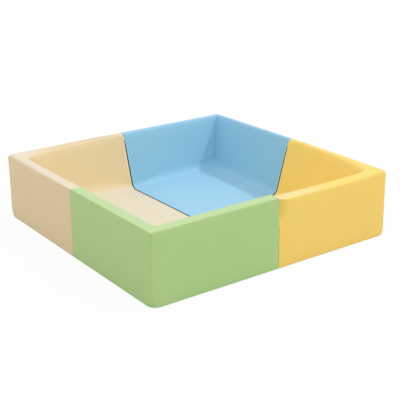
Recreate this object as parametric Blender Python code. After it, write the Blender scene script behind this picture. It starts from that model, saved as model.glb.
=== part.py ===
"""Square foam playpen made of four corner modules that hook-and-loop strips hold together.

Each module is an L of two sloping foam walls round a quarter of the padded floor, in a sewn
leathercloth cover that is closed underneath by a non-slip base panel with a zip.

A module is drawn once, with its outer corner at (0, 0): u and v run inwards from the two outer
faces to the joint planes at MODULE_LENGTH, and z runs up. It is then turned about the middle
of the pen in quarter turns. +Z is up and the origin lies on the ground, in the middle.
"""

import math

import bmesh
import bpy
from mathutils import Matrix, Vector

# The walls and the floor, in metres
MODULE_LENGTH = 0.800
WALL_HEIGHT = 0.393
WALL_TOP_THICKNESS = 0.055
WALL_LEAN_DEGREES = 16.1  # of the inner face, from upright
FLOOR_HEIGHT = 0.046

# Edges and corners of the covers
BOTTOM_EDGE_RADIUS = 0.024
OUTER_TOP_RADIUS = 0.012
INNER_TOP_RADIUS = 0.025
COVE_RADIUS = 0.050
OUTER_CORNER_RADIUS = 0.015
INNER_CORNER_RADIUS = 0.040
END_EDGE_RADIUS = 0.010
FLOOR_EDGE_RADIUS = 0.006
OUTER_FACE_CROWN = 0.004
INNER_FACE_CROWN = 0.003

# Layers
CLEARANCE = 0.0003  # between pieces that touch
COVER_THICKNESS = 0.0012
COVER_HEM = 0.012  # turned under, onto the base panel
BASE_THICKNESS = 0.0025

# Hook-and-loop strips on the module's two end faces
STRIP_THICKNESS = 0.0024
WALL_STRIP_WIDTH = 0.030
WALL_STRIP_DEPTH = 0.009  # below the sloping inner face
WALL_STRIP_TOP_MARGIN = 0.060
FLOOR_STRIP_WIDTH = 0.028
FLOOR_STRIP_DEPTH = 0.007  # below the floor
FLOOR_STRIP_END_MARGIN = 0.015
STRIP_SPACING = 0.006  # between the wall's strip and the floor's

# Zip under the floor of each module
ZIP_END_MARGIN = 0.040  # from the floor's foam to each end of the slot
ZIP_SLOT_WIDTH = 0.014
ZIP_SLIT_WIDTH = 0.0016
TAPE_WIDTH = 0.013
TAPE_THICKNESS = 0.0008
TAPE_END = 0.010  # of tape past each end of the slot
COIL_WIDTH = 0.0024
COIL_HEIGHT = 0.0016
ZIP_GROOVE_DEPTH = 0.006
SLIDER_LENGTH = 0.011
SLIDER_OUTER_WIDTH = 0.010
SLIDER_INNER_WIDTH = 0.0084
SLIDER_WING = 0.0010
SLIDER_WEB = 0.0010
SLIDER_CLEARANCE = 0.0004
EAR_LENGTH = 0.0030
EAR_WIDTH = 0.0016
EAR_BELOW_PIN = 0.0007
PIN_RADIUS = 0.0004
PIN_HEIGHT = 0.0011
PULL_WIDTH = 0.0060
PULL_NECK_WIDTH = 0.0030
PULL_CORNER = 0.0012
PULL_LENGTH = 0.022
PULL_THICKNESS = 0.0009
PULL_EYE_RADIUS = 0.0009
PULL_EYE_CLEARANCE = 0.0001
PULL_SIDE_CLEARANCE = 0.0003

# Steps along curves
BOTTOM_STEPS = 3
TOP_STEPS = 2
INNER_TOP_STEPS = 3
COVE_STEPS = 4
CORNER_STEPS = 4
FACE_STEPS = 4
LEG_STEPS = 4
FLOOR_STEPS = 3
ROUND_SIDES = 16
SHARP_DEGREES = 35
MERGE_DISTANCE = 0.00001

# Worked out from the sizes above
COVER_BOTTOM = BASE_THICKNESS + CLEARANCE
FOAM_INSET = COVER_THICKNESS + CLEARANCE
END_CLEARANCE = STRIP_THICKNESS + 1.5 * CLEARANCE  # from a joint plane to a cover's end face
SLOPE_ANGLE = math.radians(WALL_LEAN_DEGREES)
# How far from a rounded end its lines lie, in radii: the end, the middle of the arc, its start
ROUNDING_PARTS = (0.0, 1.0 - math.sqrt(0.5), 1.0)

MODULES = ("green", "yellow", "blue", "beige")
SIDES = ("left", "front", "right", "back")
COVER_COLOURS = {
    "green": (0.420, 0.610, 0.250),
    "yellow": (0.890, 0.640, 0.190),
    "blue": (0.330, 0.580, 0.790),
    "beige": (0.780, 0.620, 0.400),
}
FOAM_COLOUR = (0.820, 0.800, 0.740)
BASE_COLOUR = (0.090, 0.090, 0.095)
STRIP_COLOUR = (0.012, 0.011, 0.011)
TAPE_COLOUR = (0.030, 0.030, 0.032)
METAL_COLOUR = (0.560, 0.560, 0.570)


def clear_scene():
    for obj in list(bpy.data.objects):
        bpy.data.objects.remove(obj, do_unlink=True)


def make_material(name, colour, roughness, metallic=0.0):
    material = bpy.data.materials.new(name)
    material.use_nodes = True
    shader = material.node_tree.nodes["Principled BSDF"]
    shader.inputs["Base Color"].default_value = (*colour, 1.0)
    shader.inputs["Roughness"].default_value = roughness
    shader.inputs["Metallic"].default_value = metallic
    return material


def unit(angle):
    """The direction (inwards, up) at this angle."""
    return math.cos(angle), math.sin(angle)


def arc(centre, radius, start, end, steps, hollow=False):
    """Points of a round edge as (inwards, up, outward normal's two parts)."""
    found = []
    for step in range(steps + 1):
        normal = unit(start + (end - start) * step / steps)
        side = -radius if hollow else radius
        found.append((centre[0] + side * normal[0], centre[1] + side * normal[1], *normal))
    return found


def between(first, last, steps):
    """The points between two ends of a flat face, which keep the first end's normal."""
    found = []
    for step in range(1, steps):
        part = step / steps
        inwards = first[0] + (last[0] - first[0]) * part
        up = first[1] + (last[1] - first[1]) * part
        found.append((inwards, up, first[2], first[3], math.sin(math.pi * part)))
    return found


def cove_centre():
    """The middle of the hollow curve where the sloping face runs out onto the floor."""
    up = FLOOR_HEIGHT + COVE_RADIUS
    drop = (WALL_HEIGHT - up) * math.sin(SLOPE_ANGLE)
    return WALL_TOP_THICKNESS + (COVE_RADIUS + drop) / math.cos(SLOPE_ANGLE), up


def wall_profile():
    """The wall's outline from the turned-under hem, over the top, down to the floor.

    Each point is (inwards, up, normal inwards, normal up, crown, edge radius at the ends).
    """
    bottom = arc((BOTTOM_EDGE_RADIUS, COVER_BOTTOM + BOTTOM_EDGE_RADIUS), BOTTOM_EDGE_RADIUS,
                 -math.pi / 2, -math.pi, BOTTOM_STEPS)
    top = arc((OUTER_TOP_RADIUS, WALL_HEIGHT - OUTER_TOP_RADIUS), OUTER_TOP_RADIUS,
              math.pi, math.pi / 2, TOP_STEPS)
    back_in = INNER_TOP_RADIUS * (math.sin(SLOPE_ANGLE) - 1) / math.cos(SLOPE_ANGLE)
    inner_top = arc((WALL_TOP_THICKNESS + back_in, WALL_HEIGHT - INNER_TOP_RADIUS),
                    INNER_TOP_RADIUS, math.pi / 2, SLOPE_ANGLE, INNER_TOP_STEPS)
    cove = arc(cove_centre(), COVE_RADIUS, SLOPE_ANGLE, math.pi / 2, COVE_STEPS, hollow=True)

    hem = (BOTTOM_EDGE_RADIUS + COVER_HEM, COVER_BOTTOM, 0.0, -1.0)
    outer_face = [(*point[:4], OUTER_FACE_CROWN * point[4])
                  for point in between(bottom[-1], top[0], FACE_STEPS)]
    inner_face = [(*point[:4], INNER_FACE_CROWN * point[4])
                  for point in between(inner_top[-1], cove[0], FACE_STEPS)]
    outer = [hem, *bottom, *outer_face, *top, *inner_top, *inner_face]
    return ([(*point[:4], point[4] if len(point) > 4 else 0.0, END_EDGE_RADIUS) for point in outer]
            + [(*point, 0.0, FLOOR_EDGE_RADIUS) for point in cove])


def floor_profile():
    """The floor from past the cove to the middle of the pen, with its rounded edge."""
    start, end = cove_centre()[0], MODULE_LENGTH - END_CLEARANCE
    places = [start + (end - start) * step / FLOOR_STEPS for step in range(1, FLOOR_STEPS)]
    places += [end - FLOOR_EDGE_RADIUS * part for part in reversed(ROUNDING_PARTS)]
    return [(place, FLOOR_HEIGHT, 0.0, 1.0, 0.0, FLOOR_EDGE_RADIUS) for place in places]


def corner_radius(inwards):
    """The plan radius of the module's upright corner, which grows from the outside in."""
    part = (inwards - OUTER_TOP_RADIUS) / (WALL_TOP_THICKNESS - OUTER_TOP_RADIUS)
    part = min(max(part, 0.0), 1.0)
    return OUTER_CORNER_RADIUS + (INNER_CORNER_RADIUS - OUTER_CORNER_RADIUS) * part


def rounded_off(distance, radius):
    """How far a surface has drawn in, this far from a rounded end."""
    if distance >= radius:
        return 0.0
    return radius - math.sqrt(radius**2 - (radius - distance)**2)


def leg(inwards, radius, edge, end):
    """Places along one leg from its end to its corner, as (place, crown)."""
    start = min(inwards + radius, end)
    places = [(max(start, end - edge * part), 0.0) for part in ROUNDING_PARTS]
    free = max(0.0, end - edge - start)
    for step in range(1, LEG_STEPS):
        part = step / LEG_STEPS
        places.append((start + free * (1.0 - part), math.sin(math.pi * part)))
    return places + [(start, 0.0)]


def ring(point, inset):
    """One line of the module's surface, from joint plane to joint plane round the corner."""
    end = MODULE_LENGTH - END_CLEARANCE - inset
    inwards = min(point[0] - inset * point[2], end)
    up = point[1] - inset * point[3]
    radius = max(0.0, min(corner_radius(point[0]), end - inwards))
    first = [(inwards, place, crown) for place, crown in leg(inwards, radius, point[5], end)]
    middle = []
    for step in range(1, CORNER_STEPS):
        turn = unit(math.pi + math.pi / 2 * step / CORNER_STEPS)
        centre = inwards + radius
        middle.append((centre + radius * turn[0], centre + radius * turn[1], 0.0))
    second = [(v, u, crown) for u, v, crown in reversed(first)]

    line = []
    for index, (u, v, crown) in enumerate(first + middle + second):
        drawn_in = rounded_off(end - max(u, v), point[5]) - crown * point[4]
        across, height = -drawn_in * point[2], up - drawn_in * point[3]
        if index < len(first):
            line.append((min(u + across, end), v, height))
        elif index >= len(first) + len(middle):
            line.append((u, min(v + across, end), height))
        else:
            line.append((u, v, height))
    return line


def put(line):
    """A module's own (u, v, z) points in the frame whose origin is the middle of the pen."""
    return [Vector((u - MODULE_LENGTH, v - MODULE_LENGTH, z)) for u, v, z in line]


def skin_faces(mesh, lines, foot):
    """The surface through these lines, with its two end faces, and its open edge.

    foot closes each end face under the middle of the pen.
    """
    grid = [[mesh.verts.new(place) for place in put(line)] for line in lines]
    corner = mesh.verts.new(put([foot])[0])
    for lower, upper in zip(grid, grid[1:]):
        for index in range(len(lower) - 1):
            mesh.faces.new((lower[index], lower[index + 1], upper[index + 1], upper[index]))
    mesh.faces.new([line[0] for line in grid] + [corner])
    mesh.faces.new([line[-1] for line in reversed(grid)] + [corner])
    return grid[0] + [corner]


def finish_mesh(name, mesh, smooth=True):
    """Mesh data from a bmesh, closed up, cut to triangles, with its faces pointing out."""
    bmesh.ops.remove_doubles(mesh, verts=mesh.verts, dist=MERGE_DISTANCE)
    bmesh.ops.dissolve_degenerate(mesh, edges=mesh.edges, dist=MERGE_DISTANCE)
    bmesh.ops.triangulate(mesh, faces=mesh.faces)
    bmesh.ops.recalc_face_normals(mesh, faces=mesh.faces)
    data = bpy.data.meshes.new(name)
    mesh.to_mesh(data)
    mesh.free()
    if smooth:
        data.shade_smooth()
        data.set_sharp_from_angle(angle=math.radians(SHARP_DEGREES))
    return data


def cover_mesh():
    """The leathercloth cover: a thin shell, open underneath, with its hem turned in."""
    mesh = bmesh.new()
    edges = []
    profile = wall_profile() + floor_profile()
    for inset in (0.0, COVER_THICKNESS):
        end = MODULE_LENGTH - END_CLEARANCE - inset
        lines = [ring(point, inset) for point in profile]
        # The turned-in hem stays flat along the ends, so that the foot of each end is straight.
        foot = (end, end, COVER_BOTTOM)
        lines[0] = [(u, v, COVER_BOTTOM + inset) for u, v, z in lines[0]]
        edges.append(skin_faces(mesh, lines, foot))
    outer, inner = edges
    for index in range(len(outer)):
        after = (index + 1) % len(outer)
        mesh.faces.new((outer[index], outer[after], inner[after], inner[index]))
    return finish_mesh("cover", mesh)


def closed_sweep(mesh, lines):
    """A solid through these lines, joined round into a loop, with flat ends."""
    grid = [[mesh.verts.new(place) for place in put(line)] for line in lines]
    for index, line in enumerate(grid):
        other = grid[(index + 1) % len(grid)]
        for step in range(len(line) - 1):
            mesh.faces.new((line[step], line[step + 1], other[step + 1], other[step]))
    mesh.faces.new([line[0] for line in grid])
    mesh.faces.new([line[-1] for line in reversed(grid)])


def wall_foam_mesh(first_leg):
    """One foam wall, mitred at the module's corner."""
    profile = wall_profile()[1:]
    heel = (profile[-1][0], COVER_BOTTOM, 0.0, -1.0, 0.0, FLOOR_EDGE_RADIUS)
    lines = [ring(point, FOAM_INSET) for point in profile + [heel]]
    middle = len(lines[0]) // 2
    lines = [line[:middle + 1] if first_leg else line[middle:] for line in lines]
    for line in lines:
        place = -1 if first_leg else 0
        u, v, z = line[place]
        line[place] = (u, v + CLEARANCE, z) if first_leg else (u + CLEARANCE, v, z)
    mesh = bmesh.new()
    closed_sweep(mesh, lines)
    return finish_mesh("wall_foam", mesh)


def add_box(mesh, low, high):
    """Adds a box between two corners given in the module's own (u, v, z)."""
    low, high = put([low])[0], put([high])[0]
    made = bmesh.ops.create_cube(mesh, size=1.0)["verts"]
    for vert in made:
        for axis in range(3):
            vert.co[axis] = high[axis] if vert.co[axis] > 0 else low[axis]


def floor_foam_start():
    """Where the floor's foam begins, just past the toe of the wall's."""
    return cove_centre()[0] + CLEARANCE


def floor_foam_end():
    """Where the floor's foam ends, inside the cover's end face."""
    return MODULE_LENGTH - END_CLEARANCE - FOAM_INSET


def floor_foam_mesh():
    """The quarter of the padded floor, before its groove for the zip."""
    start = floor_foam_start()
    top = (start, FLOOR_HEIGHT, 0.0, 1.0, 0.0, FLOOR_EDGE_RADIUS)
    bottom = (start, COVER_BOTTOM, 0.0, -1.0, 0.0, FLOOR_EDGE_RADIUS)
    lines = [ring(point, FOAM_INSET) for point in [bottom, top] + floor_profile()]
    foot = (floor_foam_end(), floor_foam_end(), COVER_BOTTOM + FOAM_INSET)
    lines.append([foot] * len(lines[0]))
    mesh = bmesh.new()
    closed_sweep(mesh, lines)
    return finish_mesh("floor_foam", mesh)


def zip_line():
    """The zip's start and end in u, and its place in v, under the middle of the floor's foam."""
    start, end = floor_foam_start(), floor_foam_end()
    return start + ZIP_END_MARGIN, end - ZIP_END_MARGIN, (start + end) / 2


def groove_mesh():
    """What is cut out of the floor's foam so that the zip has room."""
    start, end, across = zip_line()
    mesh = bmesh.new()
    add_box(mesh, (start - TAPE_END, across - ZIP_SLOT_WIDTH / 2, 0.0),
            (end + TAPE_END, across + ZIP_SLOT_WIDTH / 2, COVER_BOTTOM + ZIP_GROOVE_DEPTH))
    return finish_mesh("zip_groove", mesh, smooth=False)


def base_panel_mesh():
    """The non-slip panel under the module, with a slot that shows the zip."""
    start, end, across = zip_line()
    last = MODULE_LENGTH - END_CLEARANCE
    rows = (BOTTOM_EDGE_RADIUS, start, end, last)
    columns = (BOTTOM_EDGE_RADIUS, across - ZIP_SLOT_WIDTH / 2, across + ZIP_SLOT_WIDTH / 2, last)
    mesh = bmesh.new()
    corners = [[mesh.verts.new(put([(u, v, 0.0)])[0]) for v in columns] for u in rows]
    for row in range(3):
        for column in range(3):
            if (row, column) != (1, 1):
                mesh.faces.new((corners[row][column], corners[row][column + 1],
                                corners[row + 1][column + 1], corners[row + 1][column]))
    raised = bmesh.ops.extrude_face_region(mesh, geom=mesh.faces[:])["geom"]
    bmesh.ops.translate(mesh, vec=(0, 0, BASE_THICKNESS),
                        verts=[item for item in raised if isinstance(item, bmesh.types.BMVert)])
    corner = put([(BOTTOM_EDGE_RADIUS, BOTTOM_EDGE_RADIUS, 0.0)])[0]
    upright = [edge for edge in mesh.edges
               if all((vert.co.xy - corner.xy).length < CLEARANCE for vert in edge.verts)]
    bmesh.ops.bevel(mesh, geom=upright, offset=OUTER_CORNER_RADIUS, segments=CORNER_STEPS,
                    profile=0.5, affect="EDGES")
    return finish_mesh("base_panel", mesh, smooth=False)


def slope_place(up, depth):
    """How far inwards the point at this height lies that is this deep under the inner face."""
    run = (WALL_HEIGHT - up) * math.tan(SLOPE_ANGLE)
    return WALL_TOP_THICKNESS + run - depth / math.cos(SLOPE_ANGLE)


def tube(mesh, rings):
    """A solid through these rings of (u, v, z) points, closed by its first and last ring."""
    loops = [[mesh.verts.new(place) for place in put(line)] for line in rings]
    for near, far in zip(loops, loops[1:]):
        for index in range(len(near)):
            after = (index + 1) % len(near)
            mesh.faces.new((near[index], far[index], far[after], near[after]))
    mesh.faces.new(loops[0])
    mesh.faces.new(list(reversed(loops[-1])))


def strip_outlines():
    """The outlines of the strip up a wall's end face and of the one along the floor's."""
    floor_top = FLOOR_HEIGHT - FLOOR_STRIP_DEPTH
    wall_top = WALL_HEIGHT - WALL_STRIP_TOP_MARGIN
    near, deep = WALL_STRIP_DEPTH, WALL_STRIP_DEPTH + WALL_STRIP_WIDTH
    wall = [(slope_place(up, depth), up) for up, depth in
            ((wall_top, deep), (wall_top, near), (floor_top, near), (floor_top, deep))]
    low = floor_top - FLOOR_STRIP_WIDTH
    start = slope_place(floor_top, WALL_STRIP_DEPTH) + STRIP_SPACING
    end = MODULE_LENGTH - END_CLEARANCE - FLOOR_STRIP_END_MARGIN
    floor = [(start, floor_top), (end, floor_top), (end, low), (start, low)]
    return {"wall": wall, "floor": floor}


def strip_mesh(outline, first_end):
    """One hook or loop strip, which nearly meets its other half at the joint plane."""
    mesh = bmesh.new()
    near = MODULE_LENGTH - CLEARANCE / 2
    tube(mesh, [[(inwards, place, up) if first_end else (place, inwards, up)
                 for inwards, up in outline] for place in (near, near - STRIP_THICKNESS)])
    return finish_mesh("strip", mesh, smooth=False)


def zip_tape_mesh(side):
    """One of the zip's two tapes, with its coil of teeth along the slit between them."""
    start, end, across = zip_line()
    inner = across + side * ZIP_SLIT_WIDTH / 2
    coil = inner + side * COIL_WIDTH
    outer = inner + side * TAPE_WIDTH
    top = COVER_BOTTOM + TAPE_THICKNESS
    section = [(inner, COVER_BOTTOM), (outer, COVER_BOTTOM), (outer, top), (coil, top),
               (coil, top + COIL_HEIGHT), (inner, top + COIL_HEIGHT)]
    mesh = bmesh.new()
    tube(mesh, [[(u, v, z) for v, z in section] for u in (start - TAPE_END, end + TAPE_END)])
    return finish_mesh("zip_tape", mesh, smooth=False)


def slider_rest():
    """Where the closed zip's slider has its pin: (u, v) with its body running on in u."""
    start, end, across = zip_line()
    return end - SLIDER_LENGTH - EAR_LENGTH, across


def circle(middle, height, radius):
    """Points of a circle that lies across v, as (u, z)."""
    turns = [unit(2 * math.pi * step / ROUND_SIDES) for step in range(ROUND_SIDES)]
    return [(middle + radius * turn[0], height + radius * turn[1]) for turn in turns]


def slider_pieces():
    """Meshes of the slider's body, ears and pin, to be joined into one solid."""
    pin_u, across = slider_rest()
    body_start = pin_u + EAR_LENGTH / 2
    body_end = body_start + SLIDER_LENGTH
    outer_top = COVER_BOTTOM - SLIDER_CLEARANCE
    outer_low = outer_top - SLIDER_WING
    inner_low = COVER_BOTTOM + TAPE_THICKNESS + COIL_HEIGHT + SLIDER_CLEARANCE
    inner_top = inner_low + SLIDER_WING
    boxes = [
        ((body_start, across - SLIDER_OUTER_WIDTH / 2, outer_low),
         (body_end, across + SLIDER_OUTER_WIDTH / 2, outer_top)),
        ((body_start, across - SLIDER_WEB / 2, outer_low + SLIDER_WING / 2),
         (body_end, across + SLIDER_WEB / 2, inner_low + SLIDER_WING / 2)),
        ((body_start, across - SLIDER_INNER_WIDTH / 2, inner_low),
         (body_end, across + SLIDER_INNER_WIDTH / 2, inner_top)),
    ]
    ear_inner = PULL_NECK_WIDTH / 2 + PULL_SIDE_CLEARANCE
    for side in (-1, 1):
        near, far = sorted((across + side * ear_inner, across + side * (ear_inner + EAR_WIDTH)))
        boxes.append(((pin_u - EAR_LENGTH / 2, near, PIN_HEIGHT - EAR_BELOW_PIN),
                      (body_start + SLIDER_WING, far, outer_top)))
    meshes = []
    for low, high in boxes:
        mesh = bmesh.new()
        add_box(mesh, low, high)
        meshes.append(finish_mesh("slider_box", mesh, smooth=False))
    mesh = bmesh.new()
    reach = ear_inner + EAR_WIDTH / 2
    tube(mesh, [[(u, across + side * reach, z) for u, z in circle(pin_u, PIN_HEIGHT, PIN_RADIUS)]
                for side in (-1, 1)])
    meshes.append(finish_mesh("slider_pin", mesh))
    return meshes


def eye_mesh():
    """The pull tab's eye, a short tube round the slider's pin."""
    pin_u, across = slider_rest()
    eye_inner = PIN_RADIUS + PULL_EYE_CLEARANCE
    half = PULL_NECK_WIDTH / 2
    mesh = bmesh.new()
    outer = circle(pin_u, PIN_HEIGHT, PULL_EYE_RADIUS)
    inner = circle(pin_u, PIN_HEIGHT, eye_inner)
    rims = []
    for side in (-1, 1):
        rims.append([[mesh.verts.new(place) for place in
                      put([(u, across + side * half, z) for u, z in points])]
                     for points in (outer, inner)])
    (outer_near, inner_near), (outer_far, inner_far) = rims
    for index in range(ROUND_SIDES):
        after = (index + 1) % ROUND_SIDES
        mesh.faces.new((outer_near[index], outer_far[index], outer_far[after], outer_near[after]))
        mesh.faces.new((inner_near[after], inner_far[after], inner_far[index], inner_near[index]))
        mesh.faces.new((outer_near[after], inner_near[after], inner_near[index], outer_near[index]))
        mesh.faces.new((outer_far[index], inner_far[index], inner_far[after], outer_far[after]))
    return finish_mesh("pull_eye", mesh)


def blade_mesh():
    """The flat part of the pull tab, from inside the eye's wall outwards."""
    pin_u, across = slider_rest()
    root = pin_u - (PIN_RADIUS + PULL_EYE_CLEARANCE + PULL_EYE_RADIUS) / 2
    shoulder = pin_u - EAR_LENGTH / 2 - PULL_SIDE_CLEARANCE
    tip = pin_u - PULL_LENGTH
    wide, narrow = PULL_WIDTH / 2, PULL_NECK_WIDTH / 2
    half_outline = [(root, narrow), (shoulder, narrow), (shoulder - PULL_CORNER, wide),
                    (tip + PULL_CORNER, wide), (tip, wide - PULL_CORNER)]
    outline = half_outline + [(u, -v) for u, v in reversed(half_outline)]
    low, high = PIN_HEIGHT - PULL_THICKNESS / 2, PIN_HEIGHT + PULL_THICKNESS / 2
    mesh = bmesh.new()
    tube(mesh, [[(u, across + v, z) for u, v in outline] for z in (low, high)])
    return finish_mesh("pull_blade", mesh, smooth=False)


def add_object(name, data, material, parent, origin=(0.0, 0.0, 0.0)):
    """An object whose mesh, drawn about the pen's middle, keeps its place round this origin."""
    data = data.copy()
    data.name = name
    data.transform(Matrix.Translation(-Vector(origin)))
    data.materials.clear()
    data.materials.append(material)
    obj = bpy.data.objects.new(name, data)
    obj.location = origin
    obj.parent = parent
    bpy.context.scene.collection.objects.link(obj)
    return obj


def add_boolean(obj, cutter, operation):
    modifier = obj.modifiers.new(operation.lower(), "BOOLEAN")
    modifier.operation = operation
    modifier.solver = "EXACT"
    modifier.object = cutter
    cutter.hide_render = True
    cutter.display_type = "WIRE"


def build():
    clear_scene()
    foam = make_material("foam", FOAM_COLOUR, 0.95)
    base = make_material("non_slip_cloth", BASE_COLOUR, 0.85)
    strip = make_material("hook_and_loop", STRIP_COLOUR, 0.95)
    tape = make_material("zip_tape", TAPE_COLOUR, 0.9)
    metal = make_material("zip_metal", METAL_COLOUR, 0.35, 1.0)

    cover = cover_mesh()
    walls = [wall_foam_mesh(True), wall_foam_mesh(False)]
    floor = floor_foam_mesh()
    groove = groove_mesh()
    panel = base_panel_mesh()
    strips = {(place, kind): strip_mesh(outline, kind == "loop")
              for place, outline in strip_outlines().items() for kind in ("loop", "hook")}
    tapes = {"outer": zip_tape_mesh(-1), "inner": zip_tape_mesh(1)}
    slider = slider_pieces()
    eye, blade = eye_mesh(), blade_mesh()
    pin_u, across = slider_rest()
    pin = put([(pin_u, across, PIN_HEIGHT)])[0]

    for turn, colour in enumerate(MODULES):
        module = bpy.data.objects.new(f"{colour}_module", None)
        module.rotation_euler.z = turn * math.pi / 2
        bpy.context.scene.collection.objects.link(module)
        leather = make_material(f"{colour}_leathercloth", COVER_COLOURS[colour], 0.5)

        add_object(f"{colour}_cover", cover, leather, module)
        add_object(f"{colour}_{SIDES[turn]}_wall_foam", walls[0], foam, module)
        add_object(f"{colour}_{SIDES[(turn + 1) % 4]}_wall_foam", walls[1], foam, module)
        floor_foam = add_object(f"{colour}_floor_foam", floor, foam, module)
        cutter = add_object(f"{colour}_groove_cutter", groove, foam, module)
        add_boolean(floor_foam, cutter, "DIFFERENCE")
        add_object(f"{colour}_base_panel", panel, base, module)
        for (place, kind), data in strips.items():
            add_object(f"{colour}_{place}_{kind}_strip", data, strip, module)
        for place, data in tapes.items():
            add_object(f"{colour}_{place}_zip_tape", data, tape, module)

        slider_body = add_object(f"{colour}_zip_slider", slider[0], metal, module, pin)
        for index, piece in enumerate(slider[1:]):
            part = add_object(f"{colour}_slider_part_{index}", piece, metal, module, pin)
            add_boolean(slider_body, part, "UNION")
        pull = add_object(f"{colour}_zip_pull", eye, metal, module, pin)
        part = add_object(f"{colour}_pull_part", blade, metal, module, pin)
        add_boolean(pull, part, "UNION")
    bpy.context.view_layer.update()


build()
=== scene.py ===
# %% [markdown]
# # A foam playpen in four colours
# A square, low-walled playpen of four corner modules. Each one is an L of two sloping foam walls
# round a quarter of a padded floor, in a sewn leathercloth cover. The construction comes from the
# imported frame, which is loaded first and never moved. This script makes what shows.

# %% Load the frame
import math

import bmesh
import bpy
import numpy as np
from mathutils import Matrix, Vector


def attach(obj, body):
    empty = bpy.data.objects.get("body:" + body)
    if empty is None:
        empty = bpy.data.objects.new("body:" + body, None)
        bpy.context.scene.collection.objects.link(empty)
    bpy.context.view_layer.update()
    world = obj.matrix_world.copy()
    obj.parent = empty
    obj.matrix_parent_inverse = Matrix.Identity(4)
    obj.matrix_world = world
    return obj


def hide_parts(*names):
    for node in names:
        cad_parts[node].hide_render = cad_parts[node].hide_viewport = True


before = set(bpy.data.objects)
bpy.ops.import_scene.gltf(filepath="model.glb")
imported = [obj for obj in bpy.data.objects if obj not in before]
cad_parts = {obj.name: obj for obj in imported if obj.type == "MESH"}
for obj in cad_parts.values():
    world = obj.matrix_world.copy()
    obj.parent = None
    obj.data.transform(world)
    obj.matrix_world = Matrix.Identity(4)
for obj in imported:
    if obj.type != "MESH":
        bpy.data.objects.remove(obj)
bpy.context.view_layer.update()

# %% [markdown]
# ## Camera
# The photo was taken from in front of the green corner, well above the walls, with a long lens. The
# camera's numbers come from lines that the pen must have: straight, square and equally long.

# %% Camera
CAMERA_PLACE = Vector((-2.854, -4.061, 1.967))
CAMERA_AZIMUTH = math.radians(-35.70)
CAMERA_ELEVATION = math.radians(19.96)
CAMERA_ROLL = math.radians(-0.52)
LENS_MM = 79.4


def camera_axes(azimuth, elevation, roll):
    """The camera's right, up and backward directions."""
    backward = Vector((math.sin(azimuth) * math.cos(elevation),
                       -math.cos(azimuth) * math.cos(elevation), math.sin(elevation)))
    right = (-backward).cross(Vector((0, 0, 1))).normalized()
    turn = Matrix.Rotation(roll, 3, backward)
    return turn @ right, turn @ backward.cross(right), backward


camera = bpy.data.objects.new("camera", bpy.data.cameras.new("camera"))
camera.data.lens = LENS_MM
axes = Matrix(camera_axes(CAMERA_AZIMUTH, CAMERA_ELEVATION, CAMERA_ROLL)).transposed()
camera.matrix_world = Matrix.Translation(CAMERA_PLACE) @ axes.to_4x4()
bpy.context.scene.collection.objects.link(camera)
bpy.context.scene.camera = camera
print("camera at", [round(value, 2) for value in CAMERA_PLACE])

# %% [markdown]
# ## Light and floor
# A white surround, brighter overhead, gives most of the light. One lamp from the right lays the
# shadow of the right wall on the blue floor. The studio floor is white for the camera and keeps a
# faint shadow.

# %% Light
KEY_DIRECTION = Vector((0.76, -0.22, 1.0))  # from the pen towards the lamp
KEY_STRENGTH = 0.92
KEY_ANGLE_DEGREES = 1.7
HORIZON_STRENGTH = 0.58
ZENITH_STRENGTH = 1.27

bpy.context.scene.view_settings.view_transform = "Standard"


def fill(tree, node, **inputs):
    """Give a node's inputs their values or links, by name, or by _ and a number."""
    for name, value in inputs.items():
        socket = node.inputs[int(name[1:])] if name[0] == "_" else node.inputs[name.replace("_", " ")]
        if isinstance(value, bpy.types.NodeSocket):
            tree.links.new(value, socket)
        else:
            socket.default_value = value
    return node


def add_node(tree, kind, settings=None, **inputs):
    """A node with these settings and inputs."""
    node = tree.nodes.new(kind)
    for name, value in (settings or {}).items():
        setattr(node, name, value)
    return fill(tree, node, **inputs)


def math_node(tree, operation, *values):
    inputs = {f"_{index}": value for index, value in enumerate(values)}
    return add_node(tree, "ShaderNodeMath", {"operation": operation}, **inputs).outputs[0]


def seen_directly(tree):
    """1 where a ray comes from the camera or a mirror, 0 for the light that surfaces get."""
    path = add_node(tree, "ShaderNodeLightPath").outputs
    return math_node(tree, "MAXIMUM", path["Is Camera Ray"], path["Is Glossy Ray"])


world = bpy.data.worlds.new("studio")
bpy.context.scene.world = world
world.use_nodes = True
looking = add_node(world.node_tree, "ShaderNodeTexCoord").outputs["Generated"]
height = add_node(world.node_tree, "ShaderNodeSeparateXYZ", Vector=looking).outputs["Z"]
overhead = add_node(world.node_tree, "ShaderNodeMapRange", From_Max=1.0, Value=height,
                    To_Min=HORIZON_STRENGTH, To_Max=ZENITH_STRENGTH).outputs["Result"]
level = add_node(world.node_tree, "ShaderNodeMix", {"data_type": "FLOAT"},
                 _0=seen_directly(world.node_tree), _2=overhead, _3=1.0)
fill(world.node_tree, world.node_tree.nodes["Background"], Color=(1, 1, 1, 1), Strength=level.outputs[0])

key = bpy.data.objects.new("key", bpy.data.lights.new("key", "SUN"))
key.data.energy = KEY_STRENGTH
key.data.angle = math.radians(KEY_ANGLE_DEGREES)
key.rotation_euler = KEY_DIRECTION.to_track_quat("Z", "Y").to_euler()
bpy.context.scene.collection.objects.link(key)
print("the lamp stands", round(math.degrees(math.asin(KEY_DIRECTION.normalized().z))), "degrees up")

# %% Studio floor
FLOOR_SIZE = 60.0
FLOOR_DROP = 0.0008  # below the ground plane, so that the dots underneath stand clear
FLOOR_WHITE = 0.64
FLOOR_ROUGHNESS = 0.9
FLOOR_GLOW = 0.93  # share of plain white that the camera sees
GLOW_STRENGTH = 1.01


def make_material(name):
    material = bpy.data.materials.new(name)
    material.use_nodes = True
    return material, material.node_tree, material.node_tree.nodes["Principled BSDF"]


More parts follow.
